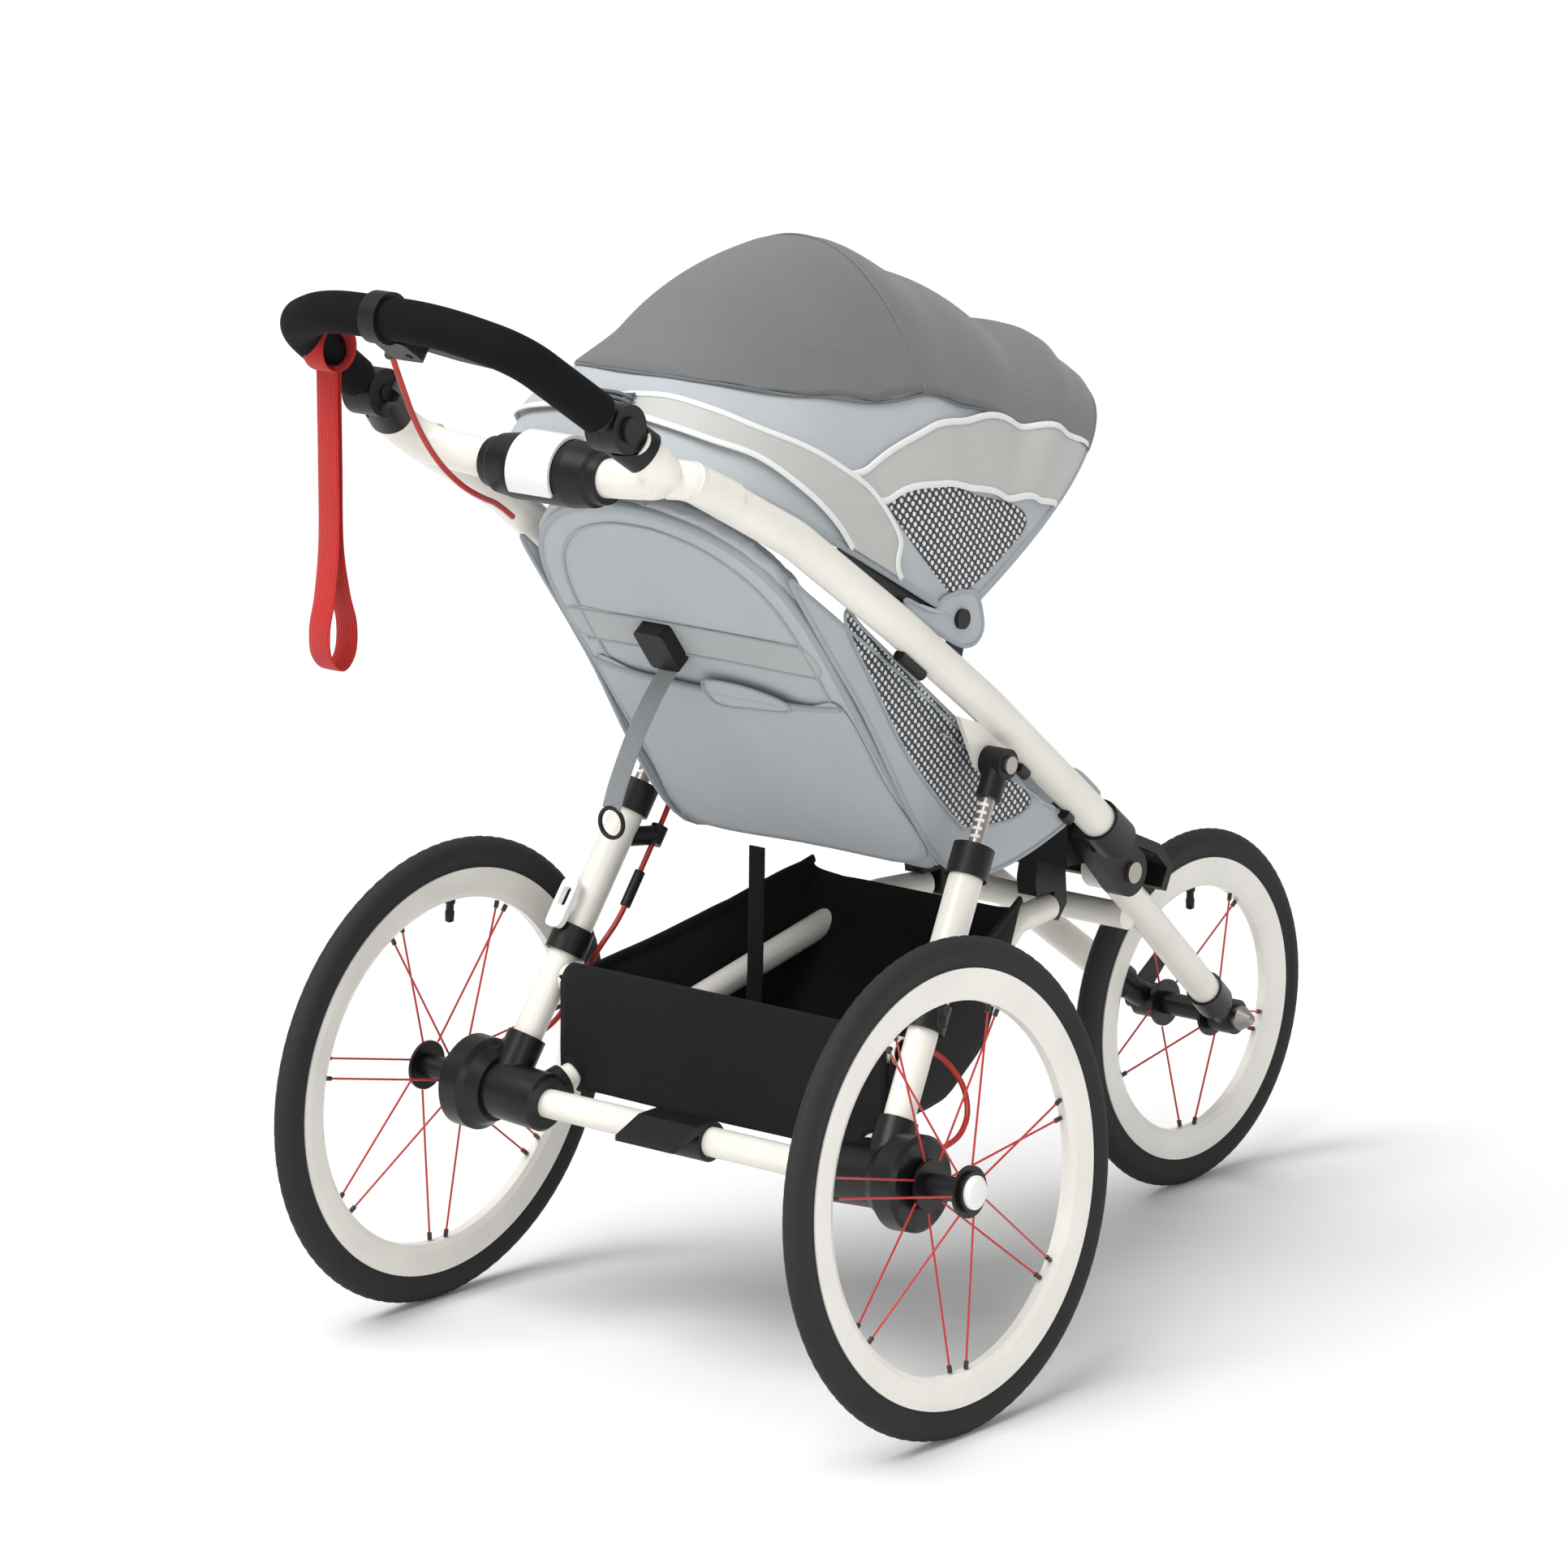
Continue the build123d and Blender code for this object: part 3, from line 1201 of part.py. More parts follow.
RELEASE_X = -DROPOUT_HIGH_X - GAP
with BuildPart() as front_skewer:
    turn(
        front_axle,
        [
            (RELEASE_X - 3, 0),
            (RELEASE_X - 3, 9),
            (RELEASE_X, 9),
            (RELEASE_X, SKEWER_RADIUS),
            (DROPOUT_HIGH_X + GAP, SKEWER_RADIUS),
            (DROPOUT_HIGH_X + GAP, 12),
            (DROPOUT_HIGH_X + 6, 12),
            (DROPOUT_HIGH_X + 18, 5),
            (DROPOUT_HIGH_X + 22, 0),
        ],
    )
keep(front_skewer, "front_skewer")

QUICK_X = RELEASE_X - 3 - GAP
with BuildPart() as quick_release:
    with BuildSketch(Plane.YZ.offset(QUICK_X)):
        with Locations((FRONT_AXLE_Y, FRONT_RADIUS)):
            Circle(11)
        with Locations((FRONT_AXLE_Y + 40, FRONT_RADIUS + 30)):
            Circle(7)
        make_hull()
    extrude(amount=-8)
keep(quick_release, "quick_release")

# ---- parking brake pedal and folding lock clip --------------------------------------------------------
PEDAL_HALF = 26.0
with BuildPart() as parking_pedal:
    disc(REAR_AXLE_Y, BEAM_Z, BEAM_RADIUS + 5, -PEDAL_HALF, PEDAL_HALF)
    slab(
        [
            (REAR_AXLE_Y + 6, BEAM_Z + 10),
            (REAR_AXLE_Y + 6, BEAM_Z + 18.5),
            (REAR_AXLE_Y - 20, BEAM_Z + 18),
            (REAR_AXLE_Y - 52, BEAM_Z + 5),
            (REAR_AXLE_Y - 52, BEAM_Z),
            (REAR_AXLE_Y - 20, BEAM_Z + 9),
        ],
        -PEDAL_HALF - 16,
        PEDAL_HALF,
    )
    disc(
        REAR_AXLE_Y,
        BEAM_Z,
        BEAM_RADIUS + RUNNING,
        -PEDAL_HALF - 40,
        PEDAL_HALF + 9,
        mode=Mode.SUBTRACT,
    )
keep(parking_pedal, "parking_pedal")

CLIP_SHARE = 0.6
CLIP_HINGE_GAP = 21.0
CLIP_HALF = 15.0
clip_point = Vector(*mirror_point(between(KNUCKLE, LEG_FOOT, CLIP_SHARE), -1))
left_leg = Vector(*mirror_point(LEG_DIRECTION, -1))
clip_out = Vector(-0.35, -0.8, 0.48)
clip_out = (clip_out - left_leg * clip_out.dot(left_leg)).normalized()
clip_plane = Plane(
    origin=clip_point + clip_out * (LEG_RADIUS + COLLAR_WALL + GAP),
    x_dir=left_leg.cross(clip_out),
    z_dir=clip_out,
)
with BuildPart() as fold_clip:
    with BuildSketch(clip_plane):
        RectangleRounded(2 * CLIP_HALF, 48, 8)
        with Locations((0, 6)):
            RectangleRounded(15, 18, 3, mode=Mode.SUBTRACT)
    extrude(amount=5)
keep(fold_clip, "fold_clip")

# ---- brake cables -------------------------------------------------------------------------------------
LEFT_CABLE = [
    (-177, -47, 486),
    (-180, -64, 450),
    (-181, -94, 408),
    (-181, -131, 359),
    (-188, -152, 334),
    (-204, -154, 308),
    (-226, -146, 282),
    (-242, -150, 256),
    (-252, -174, 242),
    (-254, -202, 238),
]
RIGHT_CABLE = [
    (211.5, -167, 313),
    (217, -150, 300),
    (231, -142, 279),
    (243, -150, 256),
    (252, -174, 242),
    (254, -202, 238),
]


def corner_radii(points):
    """For each corner, 0.45 of the shorter run over the tangent of half the turn."""
    radii = []
    for before, corner, after in zip(points, points[1:], points[2:]):
        first = Vector(*corner) - Vector(*before)
        second = Vector(*after) - Vector(*corner)
        half_turn = radians(first.get_angle(second)) / 2
        radii.append(0.45 * min(first.length, second.length) / tan(half_turn))
    return radii


with BuildPart() as brake_cables:
    for route in (LEFT_CABLE, RIGHT_CABLE):
        add_tube(route, corner_radii(route), CABLE_RADIUS)
        print("cable radii", [round(radius, 1) for radius in corner_radii(route)])
keep(brake_cables, "brake_cables")

ADJUSTER_RADIUS = 5.0
with BuildPart() as cable_adjuster:
    top = Vector(*LEFT_CABLE[2])
    low = Vector(*LEFT_CABLE[3])
    along = (low - top).normalized()
    add_rod(top + along * 12, low - along * 14, ADJUSTER_RADIUS)
    grip_end = between(LEFT_CABLE[1], LEFT_CABLE[2], 0.5)
    leg_spot = Vector(*mirror_point(between(KNUCKLE, LEG_FOOT, 0.385), -1))
    add_rod(leg_spot, grip_end, 9)
    up_line = (Vector(*LEFT_CABLE[1]) - Vector(*LEFT_CABLE[2])).normalized()
    add_rod(grip_end - up_line * 9, grip_end + up_line * 9, 8)
    add_rod(
        leg_spot - left_leg * 40, leg_spot + left_leg * 40, LEG_RADIUS + GAP, mode=Mode.SUBTRACT
    )
    add_tube(LEFT_CABLE, corner_radii(LEFT_CABLE), CABLE_RADIUS + GAP, mode=Mode.SUBTRACT)
keep(cable_adjuster, "cable_adjuster")

HANDLE_CABLE = [
    on_handle(BRACKET_X - 28, LEVER_PIVOT_REACH - 14.4, -12.4),
    (-26, -578, 932),
    (-30, -556, 893),
    (-37, -522, 856),
    (-47, -482, 829),
    (-60, -443, 812),
    (-73, -408, 800),
    (-84, -378, 783),
]
with BuildPart() as handlebar_cable:
    add_tube(HANDLE_CABLE, corner_radii(HANDLE_CABLE), CABLE_RADIUS)
    print("handlebar cable radii", [round(radius, 1) for radius in corner_radii(HANDLE_CABLE)])
keep(handlebar_cable, "handlebar_cable")
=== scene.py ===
"""The looks of the jogging stroller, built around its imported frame. Metres, in the frame's own axes."""
import json
from math import asin, atan2, cos, hypot, pi, radians, sin, sqrt

import bpy
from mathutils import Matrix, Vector, noise


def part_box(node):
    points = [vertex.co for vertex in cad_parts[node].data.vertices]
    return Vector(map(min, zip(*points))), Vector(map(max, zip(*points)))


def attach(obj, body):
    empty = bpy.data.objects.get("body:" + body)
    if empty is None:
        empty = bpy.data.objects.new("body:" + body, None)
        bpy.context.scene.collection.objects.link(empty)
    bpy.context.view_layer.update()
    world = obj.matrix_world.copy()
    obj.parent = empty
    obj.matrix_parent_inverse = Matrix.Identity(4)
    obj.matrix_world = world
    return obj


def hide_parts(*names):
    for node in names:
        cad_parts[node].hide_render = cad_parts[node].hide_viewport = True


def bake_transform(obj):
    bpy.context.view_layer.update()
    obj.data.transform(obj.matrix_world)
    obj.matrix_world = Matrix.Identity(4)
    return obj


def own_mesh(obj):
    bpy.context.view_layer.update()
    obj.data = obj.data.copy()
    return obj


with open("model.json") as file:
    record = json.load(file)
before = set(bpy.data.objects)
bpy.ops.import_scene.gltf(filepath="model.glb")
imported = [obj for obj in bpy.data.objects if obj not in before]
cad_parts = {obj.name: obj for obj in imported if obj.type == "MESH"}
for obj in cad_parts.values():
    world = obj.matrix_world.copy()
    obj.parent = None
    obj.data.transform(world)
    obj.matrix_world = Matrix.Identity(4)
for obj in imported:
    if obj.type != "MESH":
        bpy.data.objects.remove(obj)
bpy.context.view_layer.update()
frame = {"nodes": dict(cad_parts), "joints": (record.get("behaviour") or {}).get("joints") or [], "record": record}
NODES = frame["nodes"]
JOINTS = {joint["name"]: joint for joint in frame["joints"]}
MM = 0.001
SIDES = (("right", 1), ("left", -1))

CANOPY_PIVOT = Vector(JOINTS["canopy_fold"]["pos_m"])
SHIFT = CANOPY_PIVOT.y + 0.074  # the design's y = 0 in the frame
HANDLE = Vector(JOINTS["handlebar_tilt"]["pos_m"])


def at(x, y, z):
    """A point of the design, given in millimetres."""
    return Vector((x * MM, y * MM + SHIFT, z * MM))


# ---- materials ----------------------------------------------------------------------------------------
def new_material(name, roughness, metallic=0.0, sheen=0.0, coat=0.0, gloss=0.5):
    made = bpy.data.materials.new(name)
    made.use_nodes = True
    shader = made.node_tree.nodes["Principled BSDF"]
    shader.inputs["Roughness"].default_value = roughness
    shader.inputs["Metallic"].default_value = metallic
    shader.inputs["Sheen Weight"].default_value = sheen
    shader.inputs["Coat Weight"].default_value = coat
    shader.inputs["Specular IOR Level"].default_value = gloss
    return made, made.node_tree.nodes, made.node_tree.links, shader


def add_node(nodes, kind, **values):
    made = nodes.new(kind)
    for key, value in values.items():
        if key in made.inputs:
            made.inputs[key].default_value = value
        else:
            setattr(made, key, value)
    return made


def add_bump(nodes, links, shader, height, strength, distance):
    bump = add_node(nodes, "ShaderNodeBump", Strength=strength, Distance=distance)
    links.new(height, bump.inputs["Height"])
    links.new(bump.outputs["Normal"], shader.inputs["Normal"])


def tint(nodes, links, shader, colour, vector, scale, spread):
    """A base colour that drifts a little over the surface."""
    cloud = add_node(nodes, "ShaderNodeTexNoise", Scale=scale, Detail=4.0)
    links.new(vector, cloud.inputs["Vector"])
    ramp = add_node(nodes, "ShaderNodeValToRGB")
    low = [c * (1 - spread) for c in colour]
    high = [min(1.0, c * (1 + spread)) for c in colour]
    ramp.color_ramp.elements[0].color = (*low, 1)
    ramp.color_ramp.elements[1].color = (*high, 1)
    ramp.color_ramp.elements[0].position = 0.3
    ramp.color_ramp.elements[1].position = 0.7
    links.new(cloud.outputs["Fac"], ramp.inputs["Fac"])
    links.new(ramp.outputs["Color"], shader.inputs["Base Color"])
    return ramp


def smooth_material(
    name, colour, roughness, grain=900.0, depth=0.12, metallic=0.0, coat=0.0, spread=0.05, gloss=0.5
):
    """Paint, moulded plastic, foam or metal: a drifting colour with a fine grain."""
    made, nodes, links, shader = new_material(name, roughness, metallic, coat=coat, gloss=gloss)
    place = add_node(nodes, "ShaderNodeTexCoord").outputs["Object"]
    tint(nodes, links, shader, colour, place, 14.0, spread)
    grains = add_node(nodes, "ShaderNodeTexNoise", Scale=grain, Detail=3.0)
    links.new(place, grains.inputs["Vector"])
    add_bump(nodes, links, shader, grains.outputs["Fac"], depth, 0.0004)
    return made


def woven_material(name, colour, pitch, depth=0.35, ribs=0.0, by_uv=True):
    """Cloth: warp and weft waves, a drifting colour and a sheen."""
    dark = max(colour) < 0.1
    made, nodes, links, shader = new_material(name, 0.82, sheen=0.03 if dark else 0.2, gloss=0.2)
    place = add_node(nodes, "ShaderNodeTexCoord").outputs["UV" if by_uv else "Object"]
    tint(nodes, links, shader, colour, place, 9.0, 0.045)
    total = None
    for direction, share in (("X", 1.0), ("Y" if by_uv else "Z", 1.0 if not ribs else ribs)):
        wave = add_node(nodes, "ShaderNodeTexWave", bands_direction=direction, Scale=0.314 / pitch)
        links.new(place, wave.inputs["Vector"])
        part = add_node(nodes, "ShaderNodeMath", operation="MULTIPLY")
        part.inputs[1].default_value = share
        links.new(wave.outputs["Fac"], part.inputs[0])
        if total is None:
            total = part.outputs[0]
        else:
            both = add_node(nodes, "ShaderNodeMath", operation="ADD")
            links.new(total, both.inputs[0])
            links.new(part.outputs[0], both.inputs[1])
            total = both.outputs[0]
    add_bump(nodes, links, shader, total, depth, 0.0005)
    return made


def netting_material(name, thread, dot, pitch, share, alpha=1.0):
    """Open netting: rows of staggered pale dots on darker threads."""
    made, nodes, links, shader = new_material(name, 0.6)
    place = add_node(nodes, "ShaderNodeTexCoord").outputs["UV"]
    turned = add_node(nodes, "ShaderNodeMapping")
    turned.inputs["Rotation"].default_value = (0, 0, radians(45))
    turned.inputs["Scale"].default_value = (1 / pitch, 1 / pitch, 1)
    links.new(place, turned.inputs["Vector"])
    cell = add_node(nodes, "ShaderNodeVectorMath", operation="FRACTION")
    links.new(turned.outputs["Vector"], cell.inputs[0])
    off = add_node(nodes, "ShaderNodeVectorMath", operation="SUBTRACT")
    off.inputs[1].default_value = (0.5, 0.5, 0)
    links.new(cell.outputs["Vector"], off.inputs[0])
    size = add_node(nodes, "ShaderNodeVectorMath", operation="LENGTH")
    links.new(off.outputs["Vector"], size.inputs[0])
    ramp = add_node(nodes, "ShaderNodeValToRGB")
    ramp.color_ramp.elements[0].color = (*dot, 1)
    ramp.color_ramp.elements[1].color = (*thread, 1)
    ramp.color_ramp.elements[0].position = share - 0.04
    ramp.color_ramp.elements[1].position = share + 0.04
    links.new(size.outputs["Value"], ramp.inputs["Fac"])
    links.new(ramp.outputs["Color"], shader.inputs["Base Color"])
    add_bump(nodes, links, shader, size.outputs["Value"], 0.3, 0.0006)
    shader.inputs["Alpha"].default_value = alpha
    return made


def spoke_material(name, centre, nipple_from):
    """Red spokes whose ends at the rim are black nipples."""
    made, nodes, links, shader = new_material(name, 0.35, coat=0.3)
    place = add_node(nodes, "ShaderNodeTexCoord").outputs["Object"]
    off = add_node(nodes, "ShaderNodeVectorMath", operation="DISTANCE")
    off.inputs[1].default_value = centre
    links.new(place, off.inputs[0])
    ramp = add_node(nodes, "ShaderNodeValToRGB")
    ramp.color_ramp.interpolation = "CONSTANT"
    ramp.color_ramp.elements[0].color = (0.50, 0.015, 0.012, 1)
    ramp.color_ramp.elements[1].color = (0.012, 0.012, 0.012, 1)
    ramp.color_ramp.elements[1].position = nipple_from
    links.new(off.outputs["Value"], ramp.inputs["Fac"])
    links.new(ramp.outputs["Color"], shader.inputs["Base Color"])
    return made


CREAM = (0.83, 0.805, 0.735)
BLUE_GREY = (0.47, 0.50, 0.525)
PAINT = smooth_material("cream_paint", CREAM, 0.32, 500.0, 0.04, coat=0.25)
RIM_PAINT = smooth_material("rim_paint", (0.85, 0.83, 0.77), 0.3, 500.0, 0.03, coat=0.3)
PLASTIC = smooth_material("black_plastic", (0.008, 0.008, 0.0085), 0.42, 1500.0, 0.2, gloss=0.3)
BLACK_METAL = smooth_material("black_metal", (0.007, 0.007, 0.0075), 0.33, 900.0, 0.08, gloss=0.35)
WHITE = smooth_material("white_plastic", (0.86, 0.86, 0.85), 0.3, 600.0, 0.03, coat=0.2)
STEEL = smooth_material("steel", (0.40, 0.37, 0.34), 0.33, 700.0, 0.06, metallic=1.0)
RUBBER = smooth_material("tyre_rubber", (0.024, 0.024, 0.025), 0.72, 1200.0, 0.3, gloss=0.25)
FOAM = smooth_material("foam", (0.005, 0.005, 0.0055), 0.85, 700.0, 0.6, gloss=0.15)
RED = smooth_material("red_sleeve", (0.42, 0.02, 0.012), 0.35, 600.0, 0.05)
BLUE_CLOTH = woven_material("fabric_blue", BLUE_GREY, 0.0011)
BLUE_PADDING = woven_material("fabric_blue_padding", BLUE_GREY, 0.0013, by_uv=False)
BAND_CLOTH = woven_material("fabric_band", (0.45, 0.47, 0.47), 0.0010)
DOME_CLOTH = woven_material("fabric_grey", (0.165, 0.169, 0.173), 0.0024, 0.5, 0.15)
BLACK_CLOTH = woven_material("fabric_black", (0.009, 0.009, 0.0095), 0.0012, 0.6)
PIPING = woven_material("fabric_piping", (0.36, 0.40, 0.43), 0.0010)
WHITE_TAPE = woven_material("white_tape", (0.80, 0.80, 0.79), 0.0010)
GREY_WEBBING = woven_material("webbing_grey", (0.30, 0.32, 0.33), 0.0016, 0.8)
RED_WEBBING = woven_material("webbing_red", (0.50, 0.018, 0.014), 0.0022, 0.9, 0.2)
WINDOW_NET = netting_material("window_netting", (0.04, 0.04, 0.045), (0.74, 0.75, 0.76), 0.0064, 0.33)
FINE_NET = netting_material("fine_netting", (0.62, 0.62, 0.60), (0.74, 0.74, 0.72), 0.0022, 0.3, 0.66)

SLOT_MATERIALS = {
    "cream_paint": PAINT,
    "rim_paint": RIM_PAINT,
    "black_plastic": PLASTIC,
    "black_metal": BLACK_METAL,
    "white_plastic": WHITE,
    "steel": STEEL,
    "foam": FOAM,
    "red_sleeve": RED,
    "tyre": RUBBER,
}
for row in frame["record"]["subparts"]:
    if row["material_slot"] in SLOT_MATERIALS:
        mesh = NODES[row["node"]].data
        mesh.materials.clear()
        mesh.materials.append(SLOT_MATERIALS[row["material_slot"]])
for node, joint, nipple in (
    ("rear_spokes_right", "rear_spin_right", 0.1545),
    ("rear_spokes_left", "rear_spin_left", 0.1545),
    ("front_spokes", "front_spin", 0.111),
):
    mesh = NODES[node].data
    mesh.materials.clear()
    mesh.materials.append(spoke_material(f"{node}_paint", JOINTS[joint]["pos_m"], nipple))


# ---- mesh helpers -------------------------------------------------------------------------------------
def make_object(name, points, faces, material, uvs=None):
    mesh = bpy.data.meshes.new(name)
    mesh.from_pydata([tuple(p) for p in points], [], faces)
    if uvs:
        layer = mesh.uv_layers.new(name="UVMap")
        for loop in mesh.loops:
            layer.data[loop.index].uv = uvs[loop.vertex_index]
    mesh.materials.append(material)
    mesh.shade_smooth()
    made = bpy.data.objects.new(name, mesh)
    bpy.context.scene.collection.objects.link(made)
    return made


def apply_modifiers(obj):
    """Turns what the modifiers show into the piece's own mesh."""
    graph = bpy.context.evaluated_depsgraph_get()
    graph.update()
    mesh = bpy.data.meshes.new_from_object(obj.evaluated_get(graph), depsgraph=graph)
    obj.modifiers.clear()
    obj.data = mesh
    mesh.shade_smooth()
    return obj


def thicken(obj, thickness, offset=-1.0):
    skin = obj.modifiers.new("skin", "SOLIDIFY")
    skin.thickness = thickness
    skin.offset = offset
    skin.use_even_offset = False
    return apply_modifiers(obj)


def grid(name, rows, material, thickness=0.0, offset=-1.0, closed=False):
    """A surface through rows of points, with its UVs in metres along and across."""
    count = len(rows[0])
    points = [p for row in rows for p in row]
    uvs = []
    along = 0.0
    middle = count // 2
    for index, row in enumerate(rows):
        if index:
            along += (row[middle] - rows[index - 1][middle]).length
        across = 0.0
        for place, point in enumerate(row):
            if place:
                across += (point - row[place - 1]).length
            uvs.append((across, along))
    faces = []
    for r in range(len(rows) - 1):
        for c in range(count if closed else count - 1):
            after = (c + 1) % count
            faces.append((r * count + c, r * count + after, (r + 1) * count + after, (r + 1) * count + c))
    made = make_object(name, points, faces, material, uvs)
    return thicken(made, thickness, offset) if thickness else made


def curve_through(points, steps, closed=False):
    """A Catmull-Rom curve through points of any dimension."""
    count = len(points)
    spans = count if closed else count - 1
    out = []
    for span in range(spans):
        if closed:
            four = [points[(span + k) % count] for k in (-1, 0, 1, 2)]
        else:
            four = [points[min(max(span + k, 0), count - 1)] for k in (-1, 0, 1, 2)]
        for step in range(steps):
            t = step / steps
            weights = (
                -0.5 * t + t * t - 0.5 * t**3,
                1 - 2.5 * t * t + 1.5 * t**3,
                0.5 * t + 2 * t * t - 1.5 * t**3,
                -0.5 * t * t + 0.5 * t**3,
            )
            out.append(tuple(sum(w * p[k] for w, p in zip(weights, four)) for k in range(len(points[0]))))
    if not closed:
        out.append(tuple(points[-1]))
    return out


def sweep(name, path, normals, half_width, half_height, material, closed=False, sides=12):
    """A band with a rounded section, half_width across and half_height along the normals."""
    rows = []
    count = len(path)
    for index, (point, normal) in enumerate(zip(path, normals)):
        before = path[(index - 1) % count] if closed else path[max(index - 1, 0)]
        after = path[(index + 1) % count] if closed else path[min(index + 1, count - 1)]
        across = (after - before).cross(normal).normalized()
        up = across.cross(after - before).normalized()
        ring = []
        for side in range(sides):
            angle = 2 * pi * side / sides
            wide = half_width * abs(cos(angle)) ** 0.6 * (1 if cos(angle) > 0 else -1)
            high = half_height * abs(sin(angle)) ** 0.8 * (1 if sin(angle) > 0 else -1)
            ring.append(point + across * wide + up * high)
        rows.append(ring)
    if closed:
        rows.append(rows[0])
    made = grid(name, rows, material, closed=True)
    if not closed:
        for first in (0, (count - 1) * sides):
            add_cap(made, list(range(first, first + sides)), first > 0)
    return made


def add_cap(obj, ring, flip):
    """Closes an open end with one face."""
    mesh = obj.data
    points = [v.co.copy() for v in mesh.vertices]
    faces = [tuple(p.vertices) for p in mesh.polygons]
    layer = mesh.uv_layers.active
    uvs = [(0.0, 0.0)] * len(points)
    for loop in mesh.loops:
        uvs[loop.vertex_index] = tuple(layer.data[loop.index].uv)
    faces.append(tuple(ring) if flip else tuple(reversed(ring)))
    fresh = make_object("spare", points, faces, mesh.materials[0], uvs)
    obj.data = fresh.data
    bpy.data.objects.remove(fresh)


def normals_of(place, flat, delta=0.002):
    """The surface's outward direction at each flat point."""
    out = []
    for u, v in flat:
        du = place(u + delta, v, 0) - place(u - delta, v, 0)
        dv = place(u, v + delta, 0) - place(u, v - delta, 0)
        normal = du.cross(dv).normalized()
        outward = place(u, v, delta) - place(u, v, 0)
        out.append(normal if normal.dot(outward) > 0 else -normal)
    return out


def trim(name, place, points, material, half_width=0.0028, half_height=0.0013, lift=0.001, closed=False):
    """Piping or binding that follows flat points on a surface."""
    flat = curve_through(points, 10, closed)
    path = [place(u, v, lift) for u, v in flat]
    return sweep(name, path, normals_of(place, flat), half_width, half_height, material, closed)


def patch(name, place, boundary, material, thickness=0.0012, lift=0.001, rings=14, steps=8):
    """A panel inside a smooth closed line of flat points, set out from its surface."""
    edge = curve_through(boundary, steps, True)
    centre = [sum(p[k] for p in edge) / len(edge) for k in (0, 1)]
    rows = []
    for ring in range(rings + 1):
        share = max(ring / rings, 0.002)
        rows.append(
            [(centre[0] + (u - centre[0]) * share, centre[1] + (v - centre[1]) * share) for u, v in edge]
        )
    count = len(edge)
    flat = [p for row in rows for p in row]
    points = [place(u, v, lift) for u, v in flat]
    faces = []
    for r in range(rings):
        for c in range(count):
            after = (c + 1) % count
            faces.append((r * count + c, (r + 1) * count + c, (r + 1) * count + after, r * count + after))
    faces.append(tuple(range(count)))
    made = make_object(name, points, faces, material, flat)
    first = made.data.polygons[len(made.data.polygons) // 2]
    u, v = flat[first.vertices[0]]
    outward = place(u, v, lift + 0.002) - place(u, v, lift)
    if first.normal.dot(outward) < 0:
        made.data.flip_normals()
    return thicken(made, thickness)


DIAGONAL_FILL = 0.6  # the share given to a piece whose size is taken from its diagonal


def cloth(obj, held, *rests_on):
    """Works out a sheet's size from its flat cut, which its UVs hold in metres, and returns the sheet unchanged.
    """
    mesh = obj.data
    places = [loop.uv for loop in mesh.uv_layers.active.data]
    width = max(uv.x for uv in places) - min(uv.x for uv in places)
    length = max(uv.y for uv in places) - min(uv.y for uv in places)
    area = sum(face.area for face in mesh.polygons) / 2
    if not 0.35 < area / (width * length) < 0.995:  # its arcs don't span it
        length = hypot(width, length)
        width = area / length / DIAGONAL_FILL
    return obj


def join(name, pieces):
    """One object from several."""
    for piece in bpy.context.selected_objects:
        piece.select_set(False)
    for piece in pieces:
        piece.select_set(True)
    bpy.context.view_layer.objects.active = pieces[0]
    bpy.ops.object.join()
    pieces[0].name = name
    return pieces[0]


def wrinkle(point, size, depth, seed):
    """A smooth push for a place on a cloth."""
    return depth * noise.noise(point / size + Vector((seed, seed * 1.7, 0)))


def nurbs_curve(points, radius=0.0):
    """A smooth open line with those control points, or a round tube along it."""
    curve = bpy.data.curves.new("line", "CURVE")
    curve.dimensions = "3D"
    spline = curve.splines.new("NURBS")
    spline.points.add(len(points) - 1)
    for target, point in zip(spline.points, points):
        target.co = (*point, 1)
    spline.order_u = 3
    spline.use_endpoint_u = True
    spline.resolution_u = 12
    curve.bevel_depth = radius
    curve.bevel_resolution = 6
    curve.use_fill_caps = radius > 0
    spare = bpy.data.objects.new("line", curve)
    bpy.context.scene.collection.objects.link(spare)
    graph = bpy.context.evaluated_depsgraph_get()
    mesh = bpy.data.meshes.new_from_object(spare.evaluated_get(graph), depsgraph=graph)
    bpy.data.objects.remove(spare)
    return mesh


def round_tube(name, points, radius, material):
    """A round tube along a smooth line."""
    mesh = nurbs_curve(points, radius)
    mesh.materials.clear()
    mesh.materials.append(material)
    mesh.shade_smooth()
    made = bpy.data.objects.new(name, mesh)
    bpy.context.scene.collection.objects.link(made)
    return made


